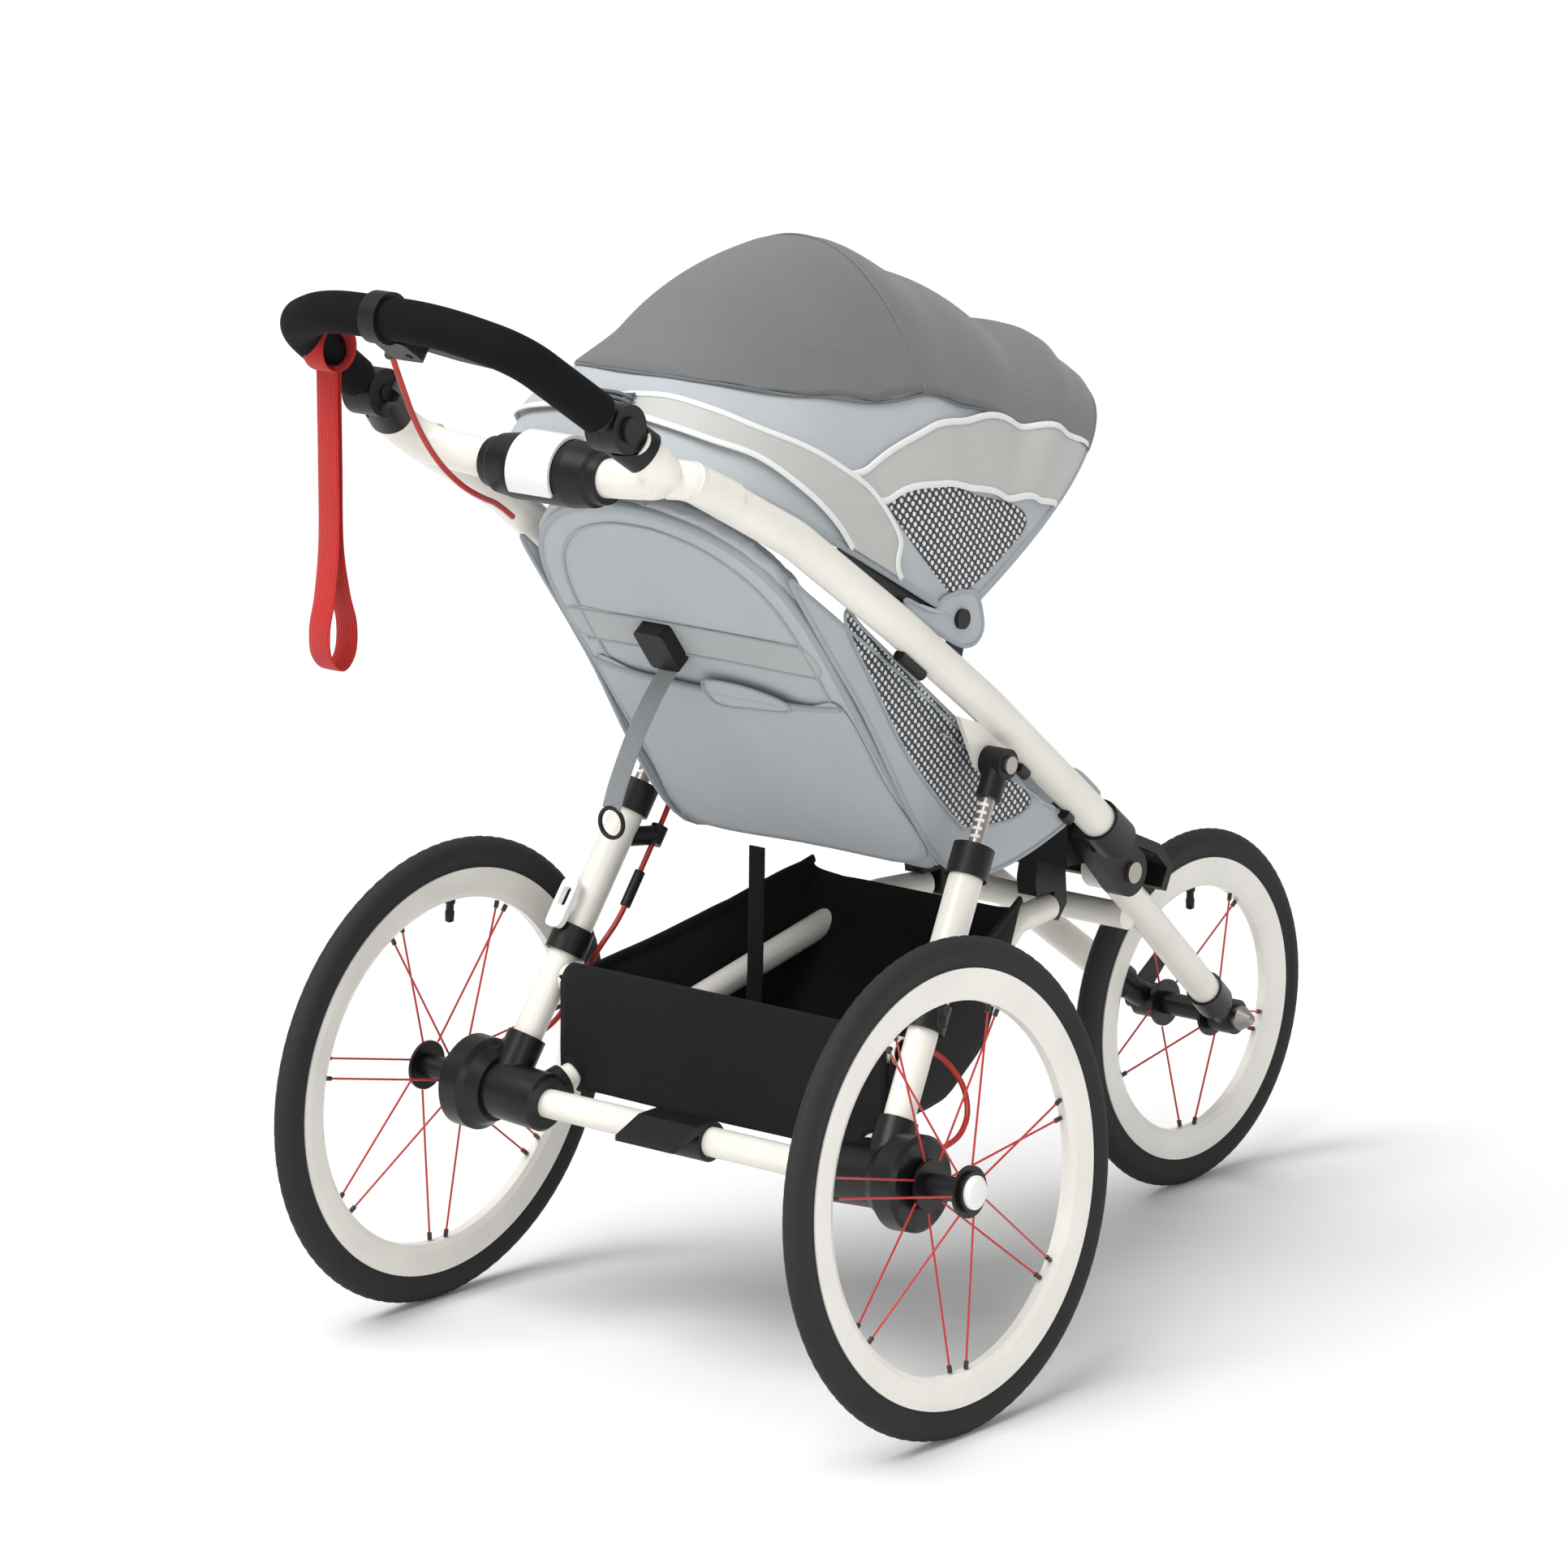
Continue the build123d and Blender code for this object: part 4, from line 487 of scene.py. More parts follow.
def soft_copy(node, name, material, voxel=0.005, rounds=10, puff=0.0, squeeze=0.002):
    """A cushion from a CAD solid: remeshed, rounded and, if it is puffed, filled by a cloth simulation."""
    made = bpy.data.objects.new(name, NODES[node].data.copy())
    bpy.context.scene.collection.objects.link(made)
    remesh = made.modifiers.new("remesh", "REMESH")
    remesh.mode = "VOXEL"
    remesh.voxel_size = voxel
    soften = made.modifiers.new("soften", "SMOOTH")
    soften.iterations = rounds
    soften.factor = 0.5
    apply_modifiers(made)
    made.data.materials.clear()
    made.data.materials.append(material)
    for vertex, normal in zip(made.data.vertices, [v.normal.copy() for v in made.data.vertices]):
        vertex.co -= normal * squeeze
    if puff:
        rest = [v.co.copy() for v in made.data.vertices]
        cloth = made.modifiers.new("cloth", "CLOTH")
        cloth.settings.use_pressure = True
        cloth.settings.uniform_pressure_force = 4.0
        cloth.settings.effector_weights.gravity = 0.0
        cloth.settings.quality = 4
        for number in range(1, 16):
            bpy.context.scene.frame_set(number)
        apply_modifiers(made)
        bpy.context.scene.frame_set(1)
        for vertex, start in zip(made.data.vertices, rest):
            moved = vertex.co - start
            if moved.length > puff:
                vertex.co = start + moved * (puff / moved.length)
    return made


# ---- canopy -------------------------------------------------------------------------------------------
RIBS = [
    (27, 357, 2.5),
    (36, 338, 2.4),
    (52, 289, 2.3),
    (75, 293, 2.2),
    (96, 325, 2.1),
    (124, 334, 2.1),
    (151, 350, 3.6),
]
CANOPY_HALF = 0.168
HEM = 0.022
FIRST_RIB = 27.0
LAST_RIB = 151.0


def rib_shape(angle):
    """The reach and squareness of the rib at an angle about the canopy's pivots."""
    angle = min(max(angle, FIRST_RIB), LAST_RIB)
    for (low, reach_a, square_a), (high, reach_b, square_b) in zip(RIBS, RIBS[1:]):
        if angle <= high:
            share = (angle - low) / (high - low)
            share = share * share * (3 - 2 * share)
            return (reach_a + (reach_b - reach_a) * share) * MM, square_a + (square_b - square_a) * share


def canopy(angle, share, out=0.0):
    """A point of the canopy by its rib's angle and its share of the way from the right hem to the left."""
    reach, square = rib_shape(angle)
    hem = asin((HEM / reach) ** (square / 2))
    turned = hem + (pi - 2 * hem) * share
    wide = (CANOPY_HALF + out) * abs(cos(turned)) ** (2 / square)
    high = (reach + out) * max(sin(turned), 0.0) ** (2 / square)
    tilt = radians(angle)
    x = wide if cos(turned) > 0 else -wide
    return CANOPY_PIVOT + Vector((x, high * cos(tilt), high * sin(tilt)))


def scaled_canopy(angle, share, out=0.0):
    """The canopy with its angle in hundreds of degrees, so that both flat sizes are alike."""
    return canopy(angle * 100, share, out)


def canopy_side(side):
    """A surface function for one side of the canopy, by y and z."""

    def place(y, z, out):
        dy = y - CANOPY_PIVOT.y
        dz = z - CANOPY_PIVOT.z
        reach, square = rib_shape(atan2(dz, dy) * 180 / pi)
        high = min(hypot(dy, dz) / reach, 1.0) ** (square / 2)
        wide = CANOPY_HALF * sqrt(max(1 - high * high, 0.0)) ** (2 / square)
        return Vector((side * (wide + out), y, z))

    return place


def flip(points, side):
    """Flat canopy points on the right, or their mirror image on the left."""
    return [(a / 100, s if side > 0 else 1 - s) for a, s in points]


def across_fold(obj):
    """Bakes a canopy piece's transform into its mesh."""
    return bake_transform(obj)


rows = []
for step in range(63):
    angle = FIRST_RIB + (LAST_RIB - FIRST_RIB) * step / 62
    row = []
    for stop in range(73):
        share = stop / 72
        point = canopy(angle, share)
        push = wrinkle(point, 0.06, 0.0012, 3.0)
        row.append(canopy(angle, share, push - 0.0012))
    rows.append(row)
shell = grid("canopy_shell", rows, BLUE_CLOTH, 0.0014, offset=1.0)
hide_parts("canopy_rear", "canopy_middle")
cloth(across_fold(shell), "stretched", "canopy_bow")

SEAM = [
    (27, 0.215), (58, 0.20), (91, 0.19), (111, 0.205), (124, 0.26), (131, 0.315), (135, 0.39), (136.6, 0.47)
]


def seam_share(angle):
    """Where the grey dome ends on the right side of a rib."""
    for (low, a), (high, b) in zip(SEAM, SEAM[1:]):
        if angle <= high:
            return a + (b - a) * (angle - low) / (high - low)
    return SEAM[-1][1]


rows = []
DOME_STEPS = 70
for step in range(DOME_STEPS + 1):
    part = step / DOME_STEPS
    angle = FIRST_RIB + (SEAM[-1][0] - FIRST_RIB) * (1 - (1 - part) ** 1.4)
    low = seam_share(angle)
    row = []
    for stop in range(57):
        share = low + (1 - 2 * low) * stop / 56
        point = canopy(angle, share)
        tuck = 0.0016 * min(1.0, abs(angle - 93) / 3.0)
        row.append(canopy(angle, share, 0.0006 + tuck + wrinkle(point, 0.09, 0.0009, 5.0)))
    rows.append(row)
dome = grid("canopy_dome", rows, DOME_CLOTH, 0.0012, offset=1.0)
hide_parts("canopy_visor")
cloth(across_fold(dome), "stretched", "canopy_shell")

seams = []
edge = [(a / 100, s) for a, s in SEAM] + [(a / 100, 1 - s) for a, s in reversed(SEAM)]
seams.append(trim("seam", scaled_canopy, edge, DOME_CLOTH, 0.0016, 0.0012, 0.0016))
rib_line = [(0.93, share) for share in (0.19, 0.3, 0.4, 0.5, 0.6, 0.7, 0.81)]
seams.append(trim("seam", scaled_canopy, rib_line, DOME_CLOTH, 0.0018, 0.0014, 0.0024))
lip = [(0.272, share) for share in (0.0, 0.03, 0.08, 0.2, 0.35, 0.5, 0.65, 0.8, 0.92, 0.97, 1.0)]
seams.append(trim("seam", scaled_canopy, lip, PIPING, 0.0035, 0.0022, 0.0))
hem = [(a / 100, 0.002) for a in (28, 45, 60, 75, 90, 105, 120, 135, 150)]
seams.append(trim("seam", scaled_canopy, hem, PIPING, 0.0028, 0.0018, 0.0))
seams.append(trim("seam", scaled_canopy, [(a, 1 - s) for a, s in hem], PIPING, 0.0028, 0.0018, 0.0))
back = [(1.506, share) for share in (0.0, 0.04, 0.1, 0.2, 0.35, 0.5, 0.65, 0.8, 0.9, 0.96, 1.0)]
seams.append(trim("seam", scaled_canopy, back, PIPING, 0.0035, 0.0022, 0.0))
across_fold(join("canopy_seams", seams))

UPPER_TAPE = [
    (141, 0.18), (134, 0.165), (118, 0.155), (96, 0.155), (76, 0.175), (58, 0.20), (39, 0.21), (28, 0.22)
]
LOWER_TAPE = [
    (141, 0.135), (134, 0.125), (118, 0.115), (96, 0.10), (76, 0.10), (58, 0.105), (40, 0.11), (28, 0.12)
]
OUTER_LOOP = [
    (141, 0.49), (140, 0.44), (139.5, 0.36), (138, 0.27), (133, 0.18), (130, 0.13), (135, 0.07), (150, 0.03)
]
INNER_LOOP = [
    (144, 0.48),
    (144.5, 0.42),
    (144.5, 0.34),
    (143.5, 0.26),
    (144, 0.19),
    (145, 0.145),
    (147, 0.11),
    (150, 0.085),
]


def strip(name, one, other, material, lift):
    """Cloth stretched between two lines on the canopy."""
    rows = []
    for (a, s), (b, t) in zip(curve_through(one, 8), curve_through(other, 8)):
        rows.append([scaled_canopy(a + (b - a) * k / 8, s + (t - s) * k / 8, lift) for k in range(9)])
    return grid(name, rows, material, 0.0005, offset=0.0)


for word, side in SIDES:
    tapes = []
    for line, lift in (
        (UPPER_TAPE, 0.0032), (LOWER_TAPE, 0.0032), (OUTER_LOOP, 0.0052), (INNER_LOOP, 0.0052)
    ):
        tapes.append(trim("tape", scaled_canopy, flip(line, side), WHITE_TAPE, 0.0030, 0.0011, lift))
    end_tape = [OUTER_LOOP[0], ((OUTER_LOOP[0][0] + INNER_LOOP[0][0]) / 2, 0.498), INNER_LOOP[0]]
    tapes.append(trim("tape", scaled_canopy, flip(end_tape, side), WHITE_TAPE, 0.0030, 0.0011, 0.0052))
    across_fold(join(f"canopy_tapes_{word}", tapes))
    nets = [
        strip("net", flip(UPPER_TAPE, side), flip(LOWER_TAPE, side), FINE_NET, 0.0028),
        strip("net", flip(OUTER_LOOP, side), flip(INNER_LOOP, side), FINE_NET, 0.0046),
    ]
    cloth(
        across_fold(join(f"canopy_netting_{word}", nets)), "stretched", "canopy_shell"
    )
    corners = [
        (126, 0.125),
        (100, 0.105),
        (70, 0.095),
        (45, 0.10),
        (34, 0.085),
        (36, 0.045),
        (62, 0.006),
        (120, 0.008),
    ]
    outline = [canopy(a, s) for a, s in corners]
    window = patch(
        f"canopy_window_{word}",
        canopy_side(side),
        [(p.y, p.z) for p in outline],
        WINDOW_NET,
        0.0008,
        0.0012,
    )
    cloth(across_fold(window), "stretched", "canopy_shell")

LACE = smooth_material("lace", (0.12, 0.125, 0.13), 0.8, 900.0, 0.5)
cords = []
for turn in range(4):
    angle = 1.412 + 0.008 * turn
    flat = [(angle, 0.478), (angle + 0.004, 0.492), (angle + 0.002, 0.508), (angle + 0.008, 0.522)]
    cords.append(trim("lace", scaled_canopy, flat, LACE, 0.0016, 0.0016, 0.0085))
    flat = [(angle + 0.008, 0.478), (angle + 0.003, 0.495), (angle + 0.004, 0.51), (angle, 0.522)]
    cords.append(trim("lace", scaled_canopy, flat, LACE, 0.0016, 0.0016, 0.0105))
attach(join("canopy_lacing", cords), "frame")

for word, side in SIDES:
    ear_line = [
        (-150, 707),
        (-112, 690),
        (-96, 700),
        (-60, 700),
        (-48, 690),
        (-43, 664),
        (-58, 652),
        (-85, 659),
        (-140, 693),
    ]

    def beside(y, z, out):
        return Vector((side * (0.1695 + out), y, z))

    outline = [(y * MM + SHIFT, z * MM) for y, z in ear_line]
    ear = patch("ear", beside, outline, BLUE_CLOTH, 0.0016, 0.0008)
    ear_edge = trim("ear_edge", beside, outline, PIPING, 0.0020, 0.0014, 0.0006, True)
    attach(join(f"canopy_ear_{word}", [ear, ear_edge]), "frame")
    ring = [(0.0062 * cos(2 * pi * k / 12), 0.0062 * sin(2 * pi * k / 12)) for k in range(12)]
    snap_line = [(CANOPY_PIVOT.y + u, CANOPY_PIVOT.z + 0.002 + v) for u, v in ring]
    snap = patch(f"canopy_snap_{word}", beside, snap_line, PLASTIC, 0.003, 0.0042, 6, 2)
    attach(snap, "frame")

# ---- seat sides ---------------------------------------------------------------------------------------
SIDE_LINE = [
    (-66, 446),
    (96, 457),
    (62, 486),
    (20, 515),
    (-60, 574),
    (-160, 650),
    (-262, 724),
    (-284, 736),
    (-200, 624),
]
MESH_LINE = [
    (-213, 706),
    (-214, 690),
    (-180, 634),
    (-129, 558),
    (-62, 490),
    (-40, 481),
    (18, 478),
    (46, 488),
    (34, 506),
    (-20, 548),
    (-118, 626),
    (-190, 684),
]
for word, side in SIDES:

    def side_wall(y, z, out):
        middle = max(0.0, 1 - ((y + 0.09) ** 2 + (z - 0.58) ** 2) / 0.03)
        return Vector((side * (0.1555 + 0.003 * middle + out), y, z))

    outline = [(y * MM + SHIFT, z * MM) for y, z in SIDE_LINE]
    cover = patch(f"seat_side_{word}", side_wall, outline, BLUE_CLOTH, 0.0030, 0.0, 24, 10)
    if side > 0:
        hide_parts("seat_sides")
    cloth(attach(cover, "frame"), "stretched", f"side_tube_{word}")
    wall_edge = trim(f"seat_side_edge_{word}", side_wall, outline, PIPING, 0.0022, 0.0022, -0.001, True)
    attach(wall_edge, "frame")
    outline = [(y * MM + SHIFT, z * MM) for y, z in MESH_LINE]
    window = patch(f"seat_side_window_{word}", side_wall, outline, WINDOW_NET, 0.0008, 0.0009, 24, 8)
    cloth(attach(window, "frame"), "stretched", f"seat_side_{word}")
    rim = trim(f"seat_side_window_edge_{word}", side_wall, outline, PIPING, 0.0016, 0.0010, 0.0009, True)
    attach(rim, "frame")

# ---- backrest -----------------------------------------------------------------------------------------
LEAN = radians(53.5)
BACK_UP = Vector((0, -cos(LEAN), sin(LEAN)))
BACK_OUT = Vector((0, -sin(LEAN), -cos(LEAN)))
BACK_FOOT = at(0, -69, 444)
BACK_LENGTH = 0.440
BACK_HALF = 0.150


def on_back(x, height, out=0.0):
    """A point on the rear of the backrest, which hollows a little between its edges."""
    fall = 0.0035 * max(0.0, 1 - (x / BACK_HALF) ** 2) * max(
        0.0, sin(pi * min(max(height / BACK_LENGTH, 0), 1))
    )
    return BACK_FOOT + Vector((x, 0, 0)) + BACK_UP * height + BACK_OUT * (out - fall)


shell = soft_copy("backrest_shell", "backrest_cover", BLUE_PADDING, 0.005, 8)
shell = shell
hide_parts("backrest_shell")
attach(shell, "backrest")

ARCH = [
    (-0.146, 0.012),
    (-0.147, 0.10),
    (-0.147, 0.20),
    (-0.146, 0.31),
    (-0.128, 0.372),
    (-0.088, 0.412),
    (-0.040, 0.431),
    (0.0, 0.435),
    (0.040, 0.431),
    (0.088, 0.412),
    (0.128, 0.372),
    (0.146, 0.31),
    (0.147, 0.20),
    (0.147, 0.10),
    (0.146, 0.012),
]
INNER_ARCH = [(x * 0.86, 0.02 + (height - 0.012) * 0.935) for x, height in ARCH]
PANEL_FOOT = [(0.08, 0.008), (0.0, 0.006), (-0.08, 0.008)]
panel = patch("backrest_rear_panel", on_back, ARCH + PANEL_FOOT, BLUE_CLOTH, 0.002, 0.0025, 20)
cloth(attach(panel, "backrest"), "stretched", "backrest_cover")
edge = trim("back_edge", on_back, ARCH, PIPING, 0.0042, 0.0040, -0.001)
line = trim("back_line", on_back, INNER_ARCH, PIPING, 0.0016, 0.0016, 0.0028)
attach(join("backrest_piping", [edge, line]), "backrest")

band_line = [
    (-0.138, 0.252),
    (-0.139, 0.290),
    (-0.07, 0.287),
    (0.0, 0.285),
    (0.07, 0.285),
    (0.128, 0.286),
    (0.129, 0.250),
    (0.06, 0.248),
    (-0.06, 0.249),
]
band = patch("backrest_band", on_back, band_line, BAND_CLOTH, 0.0014, 0.0036, 14)
cloth(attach(band, "backrest"), "stretched", "backrest_rear_panel")
hems = []
for height in (0.250, 0.289):
    line = [(-0.137, height), (-0.06, height - 0.002), (0.06, height - 0.003), (0.127, height - 0.002)]
    hems.append(trim("hem", on_back, line, PIPING, 0.0014, 0.0010, 0.0038))
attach(join("backrest_band_hems", hems), "backrest")


def on_pocket(x, height, out=0.0):
    """The pocket's face, which stands off the backrest and hangs in soft folds."""
    swell = 0.006 * max(0.0, 1 - (x / 0.14) ** 4) * max(0.0, 1 - abs(height - 0.13) / 0.13) ** 0.5
    fold = wrinkle(Vector((x, height, 0)), 0.05, 0.0012, 9.0)
    return on_back(x, height, out + swell + fold)


pocket_line = [
    (-0.140, 0.016),
    (-0.141, 0.12),
    (-0.140, 0.224),
    (-0.09, 0.213),
    (0.0, 0.207),
    (0.09, 0.208),
    (0.137, 0.214),
    (0.139, 0.12),
    (0.138, 0.018),
    (0.0, 0.012),
]
pocket = patch("backrest_pocket", on_pocket, pocket_line, BLUE_CLOTH, 0.0016, 0.0045, 18)
cloth(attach(pocket, "backrest"), "hung", "backrest_rear_panel")
mouth = trim("pocket_mouth", on_pocket, pocket_line[2:7], PIPING, 0.0028, 0.0024, 0.0052)
flap_line = [(-0.012, 0.196), (-0.014, 0.222), (0.03, 0.224), (0.074, 0.214), (0.074, 0.202), (0.03, 0.196)]
flap = patch("flap", on_pocket, flap_line, BLUE_CLOTH, 0.0014, 0.0075, 8)
flap_edge = trim("flap_edge", on_pocket, flap_line, PIPING, 0.0013, 0.0011, 0.0078, True)
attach(join("backrest_pocket_trim", [mouth, flap, flap_edge]), "backrest")

for word, side in SIDES:
    rows = []
    for step in range(49):
        height = 0.03 + 0.28 * step / 48
        taper = min(1.0, (0.34 - height) / 0.06)
        inner = on_back(side * 0.1455, height, -0.004)
        outer = on_back(side * 0.1495, height, -0.024)
        row = []
        for stop in range(13):
            part = stop / 12
            bulge = sin(pi * part) * (0.0022 + 0.0012 * sin(height * 95 + side)) * taper
            fold = 0.0006 * sin(part * 3 * pi + height * 30)
            row.append(inner.lerp(outer, part) + Vector((side * (bulge + fold * sin(pi * part)), 0, 0)))
        rows.append(row)
    gusset = grid(f"backrest_gusset_{word}", rows, BLUE_CLOTH, 0.0012, offset=0.0)
    cloth(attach(gusset, "backrest"), "gathered", "backrest_cover")

pad = soft_copy("backrest_pad", "backrest_pad_cover", BLUE_PADDING, 0.006, 6, 0.005, 0.003)
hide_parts("backrest_pad")
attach(pad, "backrest")
harness = soft_copy("harness_straps", "harness_covers", BLACK_CLOTH, 0.003, 4, 0.0, 0.0)
harness.data.materials[0] = woven_material("harness_cloth", (0.02, 0.02, 0.022), 0.0012, 0.5, by_uv=False)
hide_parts("harness_straps")
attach(harness, "backrest")

# ---- seat pad -----------------------------------------------------------------------------------------
seat = soft_copy("seat_pan", "seat_pad", BLUE_PADDING, 0.006, 8, 0.005, 0.003)
for vertex in seat.data.vertices:
    channel = abs(((vertex.co.x + 0.25) % 0.064) - 0.032)
    if vertex.normal.z > 0.4 and channel < 0.006:
        vertex.co.z -= 0.003 * (1 - channel / 0.006)
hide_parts("seat_pan")
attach(seat, "frame")

# ---- basket -------------------------------------------------------------------------------------------
CROSSBAR = at(0, -185.3, 312.1)
BASKET_FRONT = 80.0
BASKET_STEPS = 44


def basket_floor(y):
    """Height of the basket's floor at a place along it, in millimetres."""
    line = [(-201, 214), (-120, 212), (-46, 211), (14, 236), (60, 325), (80, 384)]
    for (low, a), (high, b) in zip(line, line[1:]):
        if y <= high:
            return a + (b - a) * (y - low) / (high - low)
    return line[-1][1]


rows = []
for step in range(BASKET_STEPS + 1):
    y = -198 + (BASKET_FRONT - 3 + 198) * step / BASKET_STEPS
    along = (y + 201) / 281
    half = 194 - 73 * along
    top = 313 + 74 * along**1.2
    floor = basket_floor(y)
    row = []
    for stop in range(41):
        turned = -pi / 2 + pi * stop / 40
        x = half * abs(sin(turned)) ** 0.36 * (1 if turned > 0 else -1)
        z = top - (top - floor) * max(cos(turned), 0.0) ** 0.42
        point = at(x, y, z)
        push = wrinkle(point, 0.05, 0.0022, 2.0)
        point.x *= 1 - 0.03 * sin(pi * stop / 40) ** 2 * (1 - along)
        point += Vector((0, 0, abs(push)))
        row.append(point)
    rows.append(row)
bag = grid("basket_bag", rows, BLACK_CLOTH, 0.0016, offset=0.0)
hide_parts("basket")
cloth(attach(bag, "rear_chassis"), "hung", "rear_rails", "leg_tubes")
rim_path = [rows[step][0] for step in range(BASKET_STEPS + 1)]
other_path = [rows[step][-1] for step in range(BASKET_STEPS + 1)]
rim_normals = [Vector((1, 0, 0))] * len(rim_path)
bag_parts = []
for path in (rim_path, other_path):
    bag_parts.append(sweep("basket_rim", path, rim_normals, 0.004, 0.0025, BLACK_CLOTH))

rows = []
SLEEVE = 0.0148
for stop in range(49):
    x = (-190 + 380 * stop / 48) * MM
    row = []
    for step in range(15):
        height = 0.216 + (CROSSBAR.z - 0.216) * step / 14
        slack = 0.004 * sin(pi * step / 14) * sin(pi * stop / 48)
        y = CROSSBAR.y - SLEEVE - 0.0012 + slack
        row.append(
            Vector((x, y, height)) + Vector((0, wrinkle(Vector((x, 0, height)), 0.05, 0.0016, 4.0), 0))
        )
    for step in range(1, 15):
        turned = pi - 1.25 * pi * step / 14
        row.append(CROSSBAR + Vector((x, SLEEVE * cos(turned), SLEEVE * sin(turned))))
    rows.append(row)
back = grid("basket_back", rows, BLACK_CLOTH, 0.0014, offset=0.0)
cloth(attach(back, "rear_chassis"), "hung", "cross_tubes")
for side in (1, -1):
    rail = at(side * 181, -208, 223)
    line = (at(side * 84, 117, 352) - rail).normalized()
    spot = rail + line * 0.012
    across = line.cross(Vector((0, 0, 1))).normalized()
    up = across.cross(line)
    ring = [spot + (across * cos(2 * pi * k / 28) + up * sin(2 * pi * k / 28)) * 0.0158 for k in range(28)]
    bag_parts.append(sweep("basket_ring", ring, [line] * 28, 0.0028, 0.0024, BLACK_CLOTH, True, 8))
strap_path = [at(-62, y, z) for y, z in ((-76, 436), (-77, 380), (-79, 320), (-82, 260), (-86, 220))]
strap_normals = [Vector((0, 1, 0))] * len(strap_path)
strap = sweep("basket_strap", strap_path, strap_normals, 0.0095, 0.0009, BLACK_CLOTH)
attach(strap, "rear_chassis")
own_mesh(strap)
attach(join("basket_trim", bag_parts), "rear_chassis")

# ---- straps -------------------------------------------------------------------------------------------
STRAP_X = -118
grip = at(STRAP_X, -568, 953)
loop = [grip + Vector((0, 0.0205 * cos(a), 0.0205 * sin(a))) for a in [2 * pi * k / 36 for k in range(36)]]
wrap = sweep("strap_wrap", loop, [(p - grip).normalized() for p in loop], 0.0125, 0.0011, RED_WEBBING, True)
hang = [
    (-571, 937),
    (-571, 900),
    (-571, 850),
    (-572, 785),
    (-578, 740),
    (-585, 712),
    (-583, 688),
    (-568, 675),
    (-554, 688),
    (-552, 714),
    (-560, 742),
    (-567, 785),
    (-567, 850),
    (-567, 900),
    (-567, 937),
]
path = [at(STRAP_X, y, z) for y, z in curve_through(hang, 6)]
flat_normals = []
for index, point in enumerate(path):
    ahead = path[min(index + 1, len(path) - 1)] - path[max(index - 1, 0)]
    flat_normals.append(ahead.cross(Vector((1, 0, 0))).normalized())
tail = sweep("strap_tail", path, flat_normals, 0.0125, 0.0010, RED_WEBBING)
strap = join("wrist_strap_webbing", [wrap, tail])
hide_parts("wrist_strap")
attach(strap, "handlebar")

head = on_back(-0.042, 0.238, 0.012)
line = [
    (0, 0, 0),
    (-0.003, -0.020, -0.024),
    (-0.010, -0.038, -0.060),
    (-0.017, -0.052, -0.100),
    (-0.020, -0.058, -0.123),
]
path = [head + Vector(p) for p in curve_through(line, 8)]
flat_normals = []
for index, point in enumerate(path):
    ahead = path[min(index + 1, len(path) - 1)] - path[max(index - 1, 0)]
    flat_normals.append(ahead.cross(Vector((1, 0, 0))).normalized())
tape = sweep("recline_tape", path, flat_normals, 0.011, 0.0011, GREY_WEBBING)
low = path[-1]
ring = []
for k in range(28):
    angle = 2 * pi * k / 28
    ring.append(low + Vector((0.0135 * cos(angle), 0, -0.012 + 0.0135 * sin(angle))))
ring_piece = sweep("recline_ring", ring, [Vector((0, 1, 0))] * 28, 0.0019, 0.0019, BLACK_METAL, True, 10)
strap = join("recline_webbing", [tape, ring_piece])
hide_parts("recline_strap")
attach(strap, "backrest")

# ---- handlebar cable ----------------------------------------------------------------------------------
RISE = radians(35)


def on_handle(x, reach, lift=0.0):
    """A point by its place across the bar, its distance from the pivots and its height off the bar's plane."""
    forward = Vector((0, -cos(RISE), sin(RISE)))
    return Vector((x * MM, HANDLE.y, HANDLE.z)) + forward * reach * MM + Vector(
        (0, sin(RISE), cos(RISE))
    ) * lift * MM


ROUTE = [
    (-26, -578, 932),
    (-30, -556, 893),
    (-37, -522, 856),
    (-47, -482, 829),
    (-60, -443, 812),
    (-73, -408, 800),
    (-84, -378, 783),
]
points = [on_handle(-20, 114, -12)] + [at(*p) for p in ROUTE]
centre_line = [v.co.copy() for v in nurbs_curve(points).vertices]
cable = round_tube("brake_cable_upper", points, 0.0026, RED)
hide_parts("handlebar_cable")
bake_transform(cable)
long = sum((b - a).length for a, b in zip(centre_line, centre_line[1:]))
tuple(centre_line[0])

# ---- frame elbows -------------------------------------------------------------------------------------
for word, side in SIDES:
    corner = [at(side * x, y, z) for x, y, z in ((134, -421, 848), (152, -424, 851), (158, -408, 843), (163, -378, 827))]
    elbow = round_tube(f"frame_elbow_{word}", corner, 0.0173, PAINT)
    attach(elbow, "frame")

# ---- tyres and valves ---------------------------------------------------------------------------------
TREAD_STEPS = 360


